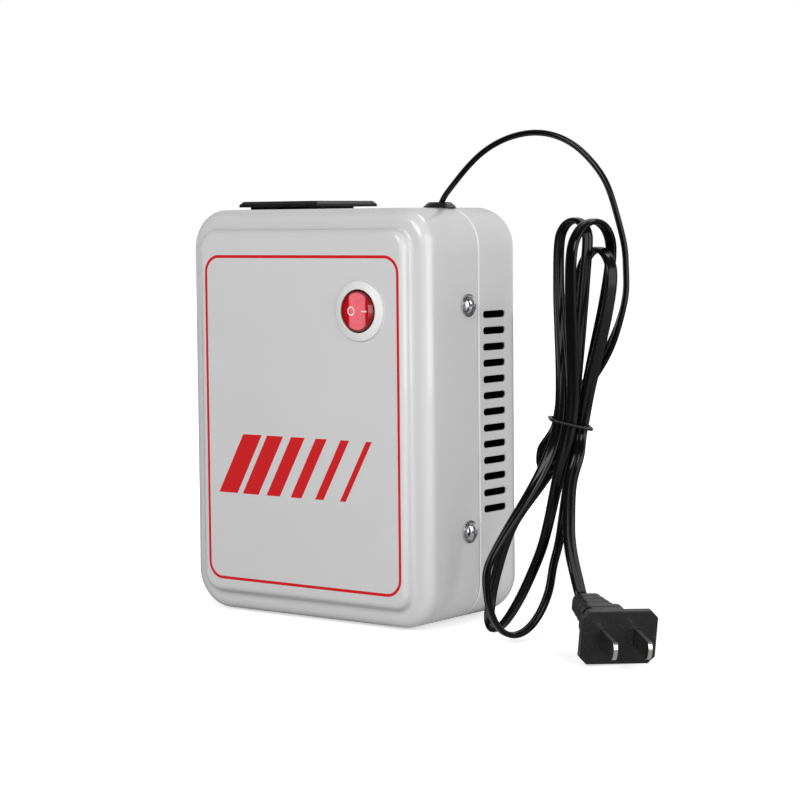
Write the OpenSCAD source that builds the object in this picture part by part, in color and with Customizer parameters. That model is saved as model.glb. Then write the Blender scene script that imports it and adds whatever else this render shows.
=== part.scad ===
// Travel voltage converter: an upright sheet-metal box with a transformer inside, a round rocker switch
// on the front, an outlet on the top and a flat twin cord that is tied up in a hank beside it.
// Millimetres. +Z is up, the front faces -Y, and the origin is on the floor under the middle of the box.

/* [Case] */
// Width of the case across its side walls
case_w = 120; // [110:1:140]
// Depth of the case from the ledge round the front panel to the back
case_d = 65; // [62:1:74]
// Height of the case without its feet
case_h = 162; // [150:1:180]
// Thickness of the sheet metal
sheet_t = 1; // [0.8:0.1:1.2]
// Corner radius of the case seen from the front
corner_r = 15.5; // [13:0.5:18]
// Radius of the front edge, between the ledge and the side walls
front_edge_r = 4.5; // [3:0.5:6]
// Radius of the rear edge, between the side walls and the back
rear_edge_r = 12; // [8:0.5:12.5]
// Depth of the front cover from the ledge to the seam
seam_depth = 32.2; // [31:0.2:34]
// Open width of the seam between the two covers
seam_gap = 0.5; // [0.3:0.1:1]
// Reach of the rear cover's lip into the front cover
lip_len = 12; // [11:0.5:14]
// Clearance between the lip and the front cover
lip_gap = 0.15; // [0.1:0.05:0.3]

/* [Front panel] */
// Ledge between the case's outline and the raised panel
panel_margin = 8; // [7:0.5:9]
// Height of the raised panel above the ledge
panel_step = 4.5; // [4.2:0.1:6]
// Radius of the panel's front edge
panel_edge_r = 2.5; // [2:0.1:2.8]
// Radius of the hollow fillet at the panel's foot
panel_foot_r = 1.5; // [1:0.1:1.7]

/* [Vents] */
// Number of ventilation slots on each side
vent_count = 13; // [5:1:15]
// Length of a slot
vent_len = 15; // [8:0.5:17]
// Width of a slot
vent_w = 2.8; // [2:0.1:4]
// Distance from one slot to the next
vent_pitch = 6.37; // [5:0.01:7]
// Distance of the slots' middles behind the seam
vent_back = 11; // [10:0.5:12]
// Height of the row's middle above the case's middle
vent_up = 1; // [-6:1:7]

/* [Case screws] */
// Distance of the screws in front of the seam
screw_front = 6.9; // [6:0.1:7]
// Height of the lower screws above the case's bottom
screw_low = 36.2; // [26:0.1:50]
// Distance of the upper screws under the case's top
screw_drop = 37.8; // [28:0.1:52]
// Diameter of the screw's shank
screw_d = 3.9; // [3:0.1:4]
// Length of the screw under its head
screw_len = 8; // [7:0.5:12]
// Diameter of the screw's head
screw_head_d = 7; // [6:0.1:8]
// Height of the screw's head
screw_head_h = 2.2; // [1.8:0.1:3]
// Diameter of the washer
washer_d = 9; // [8.4:0.1:11]
// Thickness of the washer
washer_t = 0.8; // [0.5:0.1:1.2]
// Width of the square weld nut
weld_nut_w = 8; // [7:0.5:9]
// Thickness of the weld nut
weld_nut_t = 3.2; // [2:0.1:4]

/* [Feet] */
// Diameter of a foot
foot_d = 8; // [7.5:0.5:10]
// Height of a foot under the case
foot_h = 1; // [0.8:0.1:3]
// Distance of the feet from the case's sides
foot_side = 28; // [18:1:40]
// Distance of the front feet behind the ledge
foot_front = 13; // [11:0.5:14]
// Distance of the rear feet behind the ledge
foot_rear = 46; // [43:0.5:46.5]
// Diameter of the foot's stem
foot_stem_d = 5; // [4:0.1:6]
// Diameter of the bulb that holds the foot in its hole
foot_bulb_d = 7; // [6.4:0.1:8]

/* [Switch] */
// Distance of the switch from the case's right side
switch_side = 29; // [26:0.5:40]
// Distance of the switch under the case's top
switch_drop = 39.4; // [34:0.1:50]
// Outer diameter of the bezel
bezel_d = 23.1; // [22:0.1:26]
// Height of the bezel at its rim
bezel_rim = 0.8; // [0.5:0.1:1.5]
// Height of the bezel at its hole
bezel_proud = 1.8; // [1.6:0.1:2.4]
// Diameter of the housing behind the panel
switch_body_d = 20; // [19.6:0.1:21]
// Depth of the housing behind the panel
switch_depth = 18; // [17:0.5:22]
// Diameter of the housing's bore
switch_bore_d = 16.9; // [16.8:0.1:17.4]
// Thickness of the housing's floor
switch_floor = 2; // [1.5:0.1:3]
// Clearance between the rocker and the bore
rocker_gap = 0.15; // [0.1:0.05:0.3]
// Depth of the rocker's pin behind the panel's face
pivot_depth = 1; // [0.8:0.1:1.4]
// Height of the rocker's edges over the bezel's front when it is level
rocker_proud = 0.9; // [0.5:0.1:1.2]
// Depth of the hollow in the rocker's face
rocker_dish = 0.6; // [0.3:0.1:0.8]
// Angle of the rocker to either side of level
rocker_tilt = 8; // [5:0.5:9]
// Diameter of the rocker's pins
pivot_pin_d = 2.4; // [2:0.1:2.8]
// Running clearance of the pins, across the diameter
pivot_play = 0.1; // [0.06:0.02:0.2]
// Diameter of the plunger
plunger_d = 2.8; // [2.4:0.1:3]
// Reach of the plunger's tip behind the pin
plunger_reach = 8; // [7.6:0.1:8.4]
// Angle of the moving contact to either side of level
contact_tilt = 6; // [4:0.5:7]
// Half length of the moving contact
contact_half = 6; // [5.5:0.1:6.4]
// Width of the moving contact
contact_w = 4; // [3:0.1:5]
// Thickness of the moving contact
contact_t = 0.8; // [0.6:0.1:1]
// Thickness of a switch terminal
terminal_t = 0.8; // [0.6:0.1:1]
// Width of a switch terminal
terminal_w = 6.3; // [4.8:0.1:6.6]
// Length of a terminal behind the housing
terminal_len = 8; // [6:0.5:10]

/* [Outlet] */
// Distance of the outlet from the case's left side
outlet_side = 32.2; // [30:0.2:40]
// Width of the faceplate
plate_w = 41; // [38:0.5:44]
// Distance of the faceplate's middle to the right of the base's middle
plate_shift = 3.2; // [0:0.2:3.6]
// Depth of the faceplate
plate_d = 38.7; // [36:0.1:42]
// Thickness of the faceplate
plate_t = 2.3; // [2:0.1:3.5]
// Bevel of the faceplate's upper edges
plate_bevel = 1.3; // [0.6:0.1:1.6]
// Width of the neck under the faceplate
neck_w = 31; // [30.5:0.5:33]
// Depth of the neck
neck_d = 28.6; // [28:0.2:34]
// Height of the neck above the case
neck_h = 1; // [0.5:0.1:2]
// Width of the outlet's base
base_w = 28.6; // [26:0.2:30]
// Depth of the outlet's base
base_d = 26.6; // [24:0.2:28]
// Height of the outlet's base
base_h = 20; // [19:0.5:24]
// Clearance of the base in the case's hole, on each side
base_gap = 0.2; // [0.1:0.05:0.4]
// Distance between the two blade slots
blade_pitch = 12.7; // [12.2:0.1:13.2]
// Width of a blade
blade_w = 6.35; // [6:0.05:6.6]
// Thickness of a blade
blade_t = 1.5; // [1.3:0.1:1.7]
// Clearance of a blade in its slot, on each side
slot_gap = 0.35; // [0.2:0.05:0.4]
// Thickness of the contact's leaves
leaf_t = 0.5; // [0.4:0.1:0.7]
// Depth of the contacts' pockets
pocket_deep = 14.5; // [12:0.5:16]
// Length of a contact's tab under the base
tab_len = 6; // [4:0.5:8]
// Diameter of the faceplate's screw
plate_screw_d = 2.9; // [2.5:0.1:3.2]
// Length of the faceplate's screw
plate_screw_len = 14; // [10:0.5:16]

/* [Cord bush] */
// Distance of the bush from the case's right side
bush_side = 18; // [17:0.5:22]
// Diameter of the bush's dome
bush_d = 13.3; // [12.6:0.1:15]
// Height of the dome, measured to its unbroken crown
bush_crown = 3.3; // [3:0.1:4]
// Diameter of the bush's hole in the case
bush_hole_d = 10; // [9.6:0.1:11]
// Diameter of the bush's bore
bush_bore_d = 5.4; // [5.2:0.1:5.8]

/* [Transformer] */
// Width of the core's middle leg
leg_w = 28; // [26:1:30]
// Thickness of the stack of core sheets
stack_t = 30; // [26:1:31]
// Height of the core above the case's bottom
core_low = 20; // [12:1:26]
// Length of the spacers between the core and the back
spacer_len = 14; // [13:0.5:16]
// Diameter of the spacers
spacer_d = 8; // [7:0.5:10]
// Diameter of the core bolts
bolt_d = 3.9; // [3:0.1:4]
// Diameter of the bolts' heads
bolt_head_d = 7.4; // [7:0.1:9]
// Height of the bolts' heads on the back
bolt_head_h = 1.8; // [1.5:0.1:3]
// Width of the hexagon nuts across their flats
core_nut_w = 7; // [6.5:0.5:8]
// Thickness of the hexagon nuts
core_nut_t = 3.2; // [2:0.1:4]
// Clearance of the bobbin round the middle leg, on each side
leg_gap = 0.4; // [0.2:0.1:0.6]
// Wall of the bobbin
bobbin_t = 1.2; // [1:0.1:1.5]
// Build of the primary winding
primary_t = 4.8; // [4:0.1:5]
// Build of the secondary winding
secondary_t = 4.6; // [4:0.1:4.8]
// Thickness of the tape round the windings
tape_t = 0.3; // [0.2:0.05:0.4]
// Length of the thermal cut-out
cutout_len = 16; // [12:1:20]
// Height of the thermal cut-out
cutout_w = 7; // [5:0.5:9]
// Thickness of the thermal cut-out
cutout_t = 3.5; // [2.5:0.1:4]
// Diameter of the lead wires
wire_d = 2; // [1.4:0.1:2.2]

/* [Plug] */
// Width of the plug's flange
flange_w = 28; // [26:0.5:30]
// Height of the plug's flange
flange_h = 19.5; // [18:0.1:22]
// Thickness of the plug's flange
flange_t = 3; // [2.5:0.5:4]
// Cut corners of the flange
flange_cut = 2.5; // [1:0.5:4]
// Width of the plug's body behind the flange
grip_w = 17; // [16.5:0.5:20]
// Height of the plug's body behind the flange
grip_h = 11.6; // [11:0.2:14]
// Length of the plug's body behind the flange
grip_len = 14; // [11:0.5:16]
// Length of the ribbed strain relief
relief_len = 21; // [16:0.5:24]
// Free length of the blades
blade_len = 15.5; // [14:0.5:18]

/* [Cord] */
// Diameter of the round tube that stands for the flat twin cord, measured over its corners
cord_d = 4.2; // [4:0.05:4.25]
// Diameter of the tie's wire
tie_d = 1.3; // [0.8:0.1:1.6]

/* [Hidden] */
$fn = 64;
// Overlap of a cutting shape past the face that it cuts
cut = 1;

// Where the case sits over the origin, between the rocker's raised edge and the bolt heads
switch_bore_r = switch_bore_d / 2;
rocker_r = switch_bore_r - rocker_gap;
rocker_face = pivot_depth + bezel_proud + rocker_proud;
rocker_edge_r = sqrt(rocker_r * rocker_r - rocker_face * rocker_face);
front_y = pivot_depth - panel_step - rocker_face * cos(rocker_tilt) - rocker_edge_r * sin(rocker_tilt);
back_y = case_d + bolt_head_h;
ledge_y = -(front_y + back_y) / 2;
seam_y = seam_depth + seam_gap / 2;
case_side = case_w / 2;
case_top = foot_h + case_h;
switch_x = case_side - switch_side;
switch_z = case_h - switch_drop;
outlet_x = outlet_side - case_side;
bush_x = case_side - bush_side;
foot_x = case_side - foot_side;
screw_high = case_h - screw_drop;
vent_mid = case_h / 2 + vent_up;
rear_start = seam_depth + seam_gap;

// The covers' sections, measured inward from the case's outline
panel_n = panel_margin + panel_edge_r;
lip_out = sheet_t + lip_gap;
lip_in = lip_out + sheet_t;
web_back = 0.4;
plate_lap = 0.4;

// Holes
hole_gap = 0.4;
thread_gap = 0.1;
screw_hole_d = screw_d + hole_gap;
bolt_hole_d = bolt_d + hole_gap;
fit_gap = 0.1;
switch_hole_d = switch_body_d + 2 * fit_gap;
recess_w = 1.1;
recess_long = 3.8;
recess_deep = 1.2;

// Switch
rocker_back = 3;
pin_reach = switch_body_d / 2 - 0.5;
boss_d = plunger_d + 2.2;
boss_reach = 6;
plunger_gap = 0.15;
spring_start = -1.5;
spring_wire_d = 0.4;
spring_turns = 5;
contact_gap = 0.35;
contact_y = pivot_depth + plunger_reach + contact_gap + contact_t / 2;
ridge_r = 0.5;
saddle_gap = 0.05;
saddle_w = 2.4;
ridge_y = contact_y + contact_t / 2 + 0.3 + ridge_r;
side_post_y = contact_y + contact_half * sin(contact_tilt) + contact_t / 2 / cos(contact_tilt) + 0.3;
terminal_end = switch_depth + terminal_len;
terminal_slot_gap = 0.05;
snap_out = 0.9;

// Outlet
plate_top = neck_h + plate_t;
slot_w = blade_w + 2 * slot_gap;
slot_t = blade_t + 2 * slot_gap;
leaf_gap = blade_t + 0.2;
contact_wide = leaf_gap + 2 * leaf_t;
pocket_w = contact_wide + 2.4;
pocket_d = blade_w + 2.6;
tab_t = 0.8;
tab_w = 4.8;
base_r = 2;
barb_top = lip_in + 0.15;
barb_len = 5;
barb_out = 1.2;
plate_head_d = plate_screw_d + 2.9;
plate_head_h = 1.5;

// Bush
bush_neck_d = bush_hole_d - 2 * fit_gap;
bush_under_top = lip_in + 0.7;
bush_under_t = 2.2;
bush_under_d = bush_hole_d + 2.4;
bush_flare_d = 8.6;

// Transformer, an E and I core whose sizes all follow from the middle leg
window_w = leg_w / 2;
window_h = leg_w * 1.5;
side_leg = leg_w / 2;
core_w = leg_w * 3;
core_e_h = leg_w * 2;
core_h = core_e_h + side_leg;
core_back = case_d - sheet_t - spacer_len;
core_front = core_back - stack_t;
core_mid = core_back - stack_t / 2;
window_low = core_low + side_leg;
bolt_x = core_w / 2 - side_leg / 2;
bolt_low = core_low + side_leg / 2;
bolt_high = core_low + core_h - side_leg / 2;
core_hole_d = bolt_d + 0.7;
bolt_past_nut = 2;
winding_gap = 0.1;
tube_w = leg_w + 2 * leg_gap;
tube_d = stack_t + 2 * leg_gap;
primary_w = tube_w + 2 * (bobbin_t + winding_gap);
primary_d = tube_d + 2 * (bobbin_t + winding_gap);
secondary_w = primary_w + 2 * (primary_t + winding_gap);
secondary_d = primary_d + 2 * (primary_t + winding_gap);
tape_w = secondary_w + 2 * (secondary_t + winding_gap);
tape_d = secondary_d + 2 * (secondary_t + winding_gap);
cheek_w = core_w - 2 * side_leg - 1;
cheek_d = tape_d + 2 * tape_t + 0.4;
bobbin_h = window_h - 0.4;
bobbin_top = window_low + bobbin_h;
winding_h = bobbin_h - 2 * bobbin_t - 2 * winding_gap;
winding_low = window_low + bobbin_t + winding_gap;
winding_r = 1.5;
tape_front = core_mid - tape_d / 2 - tape_t;
cutout_z = winding_low + winding_h * 0.7;
cutout_y = tape_front - cutout_t / 2;

// Plug, lying on the front lower edge of its flange
plug_yaw = -39.5;
plug_pitch = 9.5;
plug_roll = -2;
plug_edge = [case_side + 90.1, ledge_y - 10.05];
plug_lift = 0.05 - sin(plug_roll) * (flange_w / 2 - flange_cut);
plug_len = flange_t + grip_len + relief_len;
rib_count = 5;
rib_groove = 1.3;
rib_first = [16.4, 11.2];
rib_second = [13.4, 9.8];
rib_last = [11.5, 8.2];
plug_forward = [cos(plug_yaw) * cos(plug_pitch), sin(plug_yaw) * cos(plug_pitch), -sin(plug_pitch)];
plug_upward = [cos(plug_yaw) * sin(plug_pitch), sin(plug_yaw) * sin(plug_pitch), cos(plug_pitch)];
plug_face = [plug_edge[0], plug_edge[1], plug_lift] + flange_h / 2 * plug_upward;
plug_rear = plug_face - plug_len * plug_forward;
mould_gap = 0.03;
blade_root = 12;
plug_straight = 5;

// Cord
cord_r = cord_d / 2;
cord_inside = 12;
conductor_x = 1.2;

// Hank: loops that cross a waist, each loop leaving it through one slot and coming back through another.
// A place in the hank is [across, up, toward the front], and the strands lean more below the waist.
waist = [case_side + 47, ledge_y + 25.95, 81.6];
hank_yaw = 37;
across = [cos(hank_yaw), sin(hank_yaw), 0];
toward = [sin(hank_yaw), -cos(hank_yaw), 0];
lean_up = tan(4);
lean_down = tan(17);
lean_blend = 8;
slots = [[-4.5, 2.5], [-0.4, 5], [4.4, 2.5], [-4.5, -2.5], [0, 0], [0, -5], [4.4, -2.6]];
// Each loop: slot out, slot back, height of its far end, height of its bend, sideways reach of the far end,
// middle of its bend, half width of its bend
loops = [
    [5, 1, -79, 33, -1.6, [-4.1, -6], [-6.5, -7.5]],
    [1, 6, 75.5, 12, 0, [2.3, 5.5], [-8, 9]],
    [6, 0, -79, 25, 5.3, [-3.9, 7], [12.6, -5]],
    [0, 4, 76, 8, 0, [-4.1, -2.8], [-4.8, -6.2]],
    [4, 3, -18, 8, 0, [-4.2, -2.1], [4.2, 1.7]],
    [3, 2, 65, 11, 0, [5, 0], [-5, -10]]];
spread_late = 1.25;
run_rings = 7;
bend_rings = 10;
tie_tilt = 14;
tie_gap = 0.6;

// Routes of the cord outside the hank. The rise is measured from the bush's hole in the case's top, and the
// fall from the case's right side and the seam. The fall's last number is the share of the way up from the
// hank to the crest.
lead_rise = [
    [0.5, 0, 0.8], [2, 0.1, 3.8], [5, 0.3, 7.4], [11.5, 0.8, 14.2], [19, 1.3, 20.5], [27.5, 1.8, 25],
    [36, 2.3, 27.4], [43.5, 2.8, 28]];
lead_fall = [
    [32.6, 3.3, 0.986], [42.5, 4.3, 0.922], [49.4, 4.8, 0.837], [55.4, 5.3, 0.723], [59, 5.5, 0.595],
    [61.5, 6, 0.467], [63, 6.4, 0.361], [63.5, 6.4, 0.254], [63.5, 6.4, 0.141]];
lead_join = [[15.4, 40, -0.5], [12.9, 30, -3.6], [7.9, 19, -7.6], [3, 11, -7.8]];
tail_drop = [
    [2.3, -12, 7.6], [0.4, -18, 7.7], [-0.9, -26, 7.6], [-1.2, -34, 7.9], [-1.2, -42, 8.7],
    [-0.2, -50, 10], [1.4, -57.5, 12.2]];

// Frames: the case's own frame has y = 0 on the ledge and z = 0 on the case's bottom

module at_case() {
    translate([0, ledge_y, foot_h]) children();
}

module at_switch() {
    at_case() translate([switch_x, -panel_step, switch_z]) children();
}

module at_rocker() {
    at_switch() translate([0, pivot_depth, 0]) rotate([0, 0, -rocker_tilt]) children();
}

module at_outlet() {
    at_case() translate([outlet_x, seam_y, case_h]) children();
}

module at_plug() {
    translate(plug_face) rotate([0, 0, plug_yaw]) rotate([0, plug_pitch, 0]) rotate([plug_roll, 0, 0])
        children();
}

// Turns a shape that is drawn round Z so that its Z runs to the back
module facing_back() {
    rotate([-90, 0, 0]) children();
}

// Shared shapes

module rounded_rect(w, h, r) {
    square([w - 2 * r, h], center = true);
    square([w, h - 2 * r], center = true);
    for (sx = [-1, 1], sy = [-1, 1]) {
        translate([sx * (w / 2 - r), sy * (h / 2 - r)]) circle(r);
    }
}

// Carries a section, drawn as [distance inward, depth], once round the case's outline
module round_the_case() {
    sides = [
        [case_w / 2, case_h - 2 * corner_r, 0],
        [case_h / 2, case_w - 2 * corner_r, -90],
        [case_w / 2, case_h - 2 * corner_r, 180],
        [case_h / 2, case_w - 2 * corner_r, 90]];
    for (s = sides) {
        rotate([0, s[2], 0]) translate([s[0], 0, -s[1] / 2])
            linear_extrude(s[1]) mirror([1, 0]) children();
    }
    for (c = [[1, -1, 0], [1, 1, -90], [-1, 1, 180], [-1, -1, 90]]) {
        translate([c[0] * (case_w / 2 - corner_r), 0, c[1] * (case_h / 2 - corner_r)])
            rotate([0, c[2], 0]) facing_back()
                rotate_extrude(angle = 90) translate([corner_r, 0]) mirror([1, 0]) children();
    }
}

// A flat plate inside the outline, a distance inward from it, with its front face at a depth
module plate_inside(inward, depth) {
    translate([0, depth, 0]) facing_back() linear_extrude(sheet_t)
        rounded_rect(case_w - 2 * inward, case_h - 2 * inward, corner_r - inward);
}

// A pan head: a short drum with a domed top, its underside at z = 0, with a cross recess
module pan_head(d, h) {
    rim = h * 0.45;
    crown = h - rim;
    dome_r = (d * d / 4 + crown * crown) / (2 * crown);
    difference() {
        union() {
            cylinder(d = d, h = rim);
            intersection() {
                translate([0, 0, h - dome_r]) sphere(dome_r);
                translate([0, 0, rim]) cylinder(d = d, h = crown);
            }
        }
        for (a = [0, 90]) {
            rotate([0, 0, a]) translate([-recess_long / 2, -recess_w / 2, h - recess_deep])
                cube([recess_long, recess_w, recess_deep + cut]);
        }
    }
}

// Routes and tubes

function unit(v) = v / norm(v);
function heading(route, i) = unit(route[min(i + 1, len(route) - 1)] - route[max(i - 1, 0)]);
function square_to(side, d) = unit(side - (side * d) * d);

// A side direction at each point of a route, carried along it without twist
function carried(route, side) = [
    for (i = 0, s = square_to(side, heading(route, 0));
        i < len(route);
        i = i + 1, s = square_to(s, heading(route, min(i, len(route) - 1))))
        s];

// A closed tube along a route
module tube(route, r, sides) {
    last = (len(route) - 1) * sides;
    lateral = carried(route, toward);
    points = [
        for (i = [0 : len(route) - 1])
            let (d = heading(route, i), a = lateral[i], b = cross(d, a))
            for (k = [0 : sides - 1])
                route[i] + r * (cos(360 * k / sides) * a + sin(360 * k / sides) * b)];
    walls = [
        for (i = [0 : len(route) - 2], k = [0 : sides - 1])
            let (p = i * sides + k, q = i * sides + (k + 1) % sides)
            each [[p, p + sides, q], [q, p + sides, q + sides]]];
    ends = [
        for (k = [1 : sides - 2])
            each [[0, k, k + 1], [last, last + k + 1, last + k]]];
    polyhedron(points, concat(walls, ends));
}

// Covers

// A quarter of a bent sheet in a section: its middle, its outer radius and the sides that it faces
module quarter_band(middle, r, side) {
    far = r + cut;
    translate(middle) intersection() {
        difference() {
            circle(r);
            circle(r - sheet_t);
        }
        translate([side[0] < 0 ? -far : 0, side[1] < 0 ? -far : 0]) square(far);
    }
}

// From the seam forward: side wall, front edge, ledge, hollow foot, step and panel edge
module front_section() {
    foot = [panel_margin - panel_foot_r, -panel_foot_r];
    edge = [panel_n, panel_edge_r - panel_step];
    translate([0, front_edge_r]) square([sheet_t, seam_depth - front_edge_r]);
    quarter_band([front_edge_r, front_edge_r], front_edge_r, [-1, -1]);
    translate([front_edge_r, 0]) square([foot[0] - front_edge_r, sheet_t]);
    quarter_band(foot, panel_foot_r + sheet_t, [1, 1]);
    translate([panel_margin, edge[1]]) square([sheet_t, foot[1] - edge[1]]);
    quarter_band(edge, panel_edge_r, [-1, -1]);
    translate([panel_n, -panel_step]) square([plate_lap, sheet_t]);
}

// From the seam back: lip, web, side wall and rear edge
module rear_section() {
    edge_y = case_d - rear_edge_r;
    translate([lip_out, seam_depth - lip_len]) square([sheet_t, lip_len + seam_gap + web_back + sheet_t]);
    translate([sheet_t / 2, rear_start + web_back]) square([lip_in - sheet_t / 2, sheet_t]);
    translate([0, rear_start]) square([sheet_t, edge_y - rear_start]);
    quarter_band([rear_edge_r, edge_y], rear_edge_r, [-1, 1]);
    translate([rear_edge_r, case_d - sheet_t]) square([plate_lap, sheet_t]);
}

module screw_holes() {
    for (z = [screw_low, screw_high]) {
        translate([0, seam_y - screw_front, z]) rotate([0, 90, 0])
            cylinder(d = screw_hole_d, h = case_w + 2 * cut, center = true);
    }
}

module foot_holes() {
    for (x = [-foot_x, foot_x], y = [foot_front, foot_rear]) {
        translate([x, y, -cut]) cylinder(d = foot_stem_d, h = sheet_t + 2 * cut);
    }
}

module top_holes() {
    translate([outlet_x, seam_y, case_h - lip_in - cut]) linear_extrude(lip_in + 2 * cut)
        rounded_rect(base_w + 2 * base_gap, base_d + 2 * base_gap, base_r + base_gap);
    translate([bush_x, seam_y, case_h - lip_in - cut]) cylinder(d = bush_hole_d, h = lip_in + 2 * cut);
}

module bolt_places() {
    for (x = [-bolt_x, bolt_x], z = [bolt_low, bolt_high]) {
        translate([x, 0, z]) children();
    }
}

module vent_slots() {
    for (i = [0 : vent_count - 1]) {
        translate([0, seam_y + vent_back, vent_mid + (i - (vent_count - 1) / 2) * vent_pitch]) {
            cube([case_w + 2 * cut, vent_len - vent_w, vent_w], center = true);
            for (s = [-1, 1]) {
                translate([0, s * (vent_len - vent_w) / 2, 0]) rotate([0, 90, 0])
                    cylinder(d = vent_w, h = case_w + 2 * cut, center = true);
            }
        }
    }
}

module front_cover() {
    color("gainsboro") at_case() difference() {
        translate([0, 0, case_h / 2]) {
            round_the_case() front_section();
            plate_inside(panel_n, -panel_step);
        }
        translate([switch_x, -panel_step - cut, switch_z]) facing_back()
            cylinder(d = switch_hole_d, h = sheet_t + 2 * cut);
        screw_holes();
        foot_holes();
        top_holes();
    }
}

module rear_cover() {
    color("gainsboro") at_case() difference() {
        translate([0, 0, case_h / 2]) {
            round_the_case() rear_section();
            plate_inside(rear_edge_r, case_d - sheet_t);
        }
        vent_slots();
        screw_holes();
        foot_holes();
        top_holes();
        bolt_places() translate([0, case_d - sheet_t - cut, 0]) facing_back()
            cylinder(d = bolt_hole_d, h = sheet_t + 2 * cut);
    }
}

// Fasteners of the case: each place's Z points out of a side wall, from the wall's face
module screw_places() {
    for (s = [-1, 1], z = [screw_low, screw_high]) {
        translate([s * case_w / 2, seam_y - screw_front, z]) rotate([0, s * 90, 0]) children();
    }
}

module case_screws() {
    color("silver") at_case() screw_places() {
        translate([0, 0, washer_t]) pan_head(screw_head_d, screw_head_h);
        translate([0, 0, washer_t - screw_len]) cylinder(d = screw_d, h = screw_len);
    }
}

module screw_washers() {
    color("lightgray") at_case() screw_places() difference() {
        cylinder(d = washer_d, h = washer_t);
        translate([0, 0, -cut]) cylinder(d = screw_hole_d, h = washer_t + 2 * cut);
    }
}

module weld_nuts() {
    color("dimgray") at_case() screw_places() translate([0, 0, -lip_in - weld_nut_t]) difference() {
        translate([-weld_nut_w / 2, -weld_nut_w / 2, 0]) cube([weld_nut_w, weld_nut_w, weld_nut_t]);
        translate([0, 0, -cut]) cylinder(d = screw_d + thread_gap, h = weld_nut_t + 2 * cut);
    }
}

module rubber_feet() {
    bulb_h = 2;
    color("black") for (x = [-foot_x, foot_x], y = [foot_front, foot_rear]) {
        at_case() translate([x, y, 0]) {
            translate([0, 0, -foot_h]) cylinder(d1 = foot_d - foot_h, d2 = foot_d, h = foot_h);
            cylinder(d = foot_stem_d - fit_gap, h = sheet_t + fit_gap);
            translate([0, 0, sheet_t + fit_gap]) cylinder(d1 = foot_bulb_d, d2 = foot_stem_d - 2, h = bulb_h);
        }
    }
}

// Switch

module switch_housing() {
    bezel_r = bezel_d / 2;
    body_r = switch_body_d / 2;
    color("whitesmoke") at_switch() {
        difference() {
            facing_back() rotate_extrude() polygon([
                [switch_bore_r, -bezel_proud], [switch_bore_r + 0.5, -bezel_proud], [bezel_r, -bezel_rim],
                [bezel_r, 0], [body_r, 0], [body_r, switch_depth], [0, switch_depth],
                [0, switch_depth - switch_floor], [switch_bore_r, switch_depth - switch_floor]]);
            translate([0, pivot_depth, 0])
                cylinder(d = pivot_pin_d + pivot_play, h = 2 * (pin_reach + pivot_play), center = true);
            for (x = [0, -contact_half]) {
                translate([x, switch_depth, 0]) cube([
                    terminal_t + 2 * terminal_slot_gap,
                    2 * switch_floor + 2 * cut,
                    terminal_w + 2 * terminal_slot_gap], center = true);
            }
        }
        for (a = [0, 180]) {
            rotate([0, a, 0]) switch_barb();
        }
    }
}

// A snap barb on the housing's side that holds the housing behind the panel
module switch_barb() {
    half = 2.5;
    root = sqrt(switch_body_d * switch_body_d / 4 - half * half);
    out = switch_body_d / 2 + snap_out;
    top = sheet_t + fit_gap;
    translate([0, 0, -half]) linear_extrude(2 * half)
        polygon([[root - 0.5, top], [out, top], [out, top + 1.5], [root - 0.5, top + 6]]);
}

module switch_rocker() {
    dish_r = (rocker_edge_r * rocker_edge_r + rocker_dish * rocker_dish) / (2 * rocker_dish);
    color("crimson") at_rocker() difference() {
        union() {
            intersection() {
                sphere(rocker_r);
                translate([-rocker_r, -rocker_face, -rocker_r])
                    cube([2 * rocker_r, rocker_face + rocker_back, 2 * rocker_r]);
            }
            facing_back() cylinder(d = boss_d, h = boss_reach);
            cylinder(d = pivot_pin_d, h = 2 * pin_reach, center = true);
        }
        translate([0, rocker_dish - rocker_face - dish_r, 0])
            cylinder(r = dish_r, h = 2 * rocker_r, center = true);
        translate([0, spring_start, 0]) facing_back()
            cylinder(d = plunger_d + 2 * plunger_gap, h = boss_reach - spring_start + cut);
    }
}

module rocker_plunger() {
    seat = spring_start + spring_turns * (2 * spring_wire_d + 0.1) + spring_wire_d;
    tip_r = plunger_d / 2;
    color("ivory") at_rocker() facing_back() {
        translate([0, 0, seat]) cylinder(d = plunger_d, h = plunger_reach - tip_r - seat);
        translate([0, 0, plunger_reach - tip_r]) sphere(tip_r);
    }
}

module plunger_spring() {
    rings = 8;
    pitch = 2 * spring_wire_d + 0.1;
    coil_r = plunger_d / 2 - spring_wire_d / 2;
    start = spring_start + spring_wire_d / 2;
    route = [
        for (i = [0 : rings * spring_turns])
            let (a = 360 * i / rings)
            [coil_r * cos(a), start + pitch * i / rings, coil_r * sin(a)]];
    color("silver") at_rocker() tube(route, spring_wire_d / 2, 6);
}

// The contact rocks on the middle terminal's round ridge, on a saddle that fits over it
module moving_contact() {
    button_d = 2.4;
    button_t = 0.2;
    saddle_t = ridge_y - contact_y - contact_t / 2;
    color("goldenrod") at_switch() translate([0, ridge_y, 0]) rotate([0, 0, contact_tilt]) {
        translate([0, contact_y - ridge_y, 0]) {
            cube([2 * contact_half, contact_t, contact_w], center = true);
            translate([-contact_half + button_d / 2, contact_t / 2, 0]) facing_back()
                cylinder(d = button_d, h = button_t);
        }
        difference() {
            translate([-saddle_w / 2, -saddle_t, -contact_w / 2]) cube([saddle_w, saddle_t, contact_w]);
            cylinder(r = ridge_r + saddle_gap, h = contact_w + 2 * cut, center = true);
        }
    }
}

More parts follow.
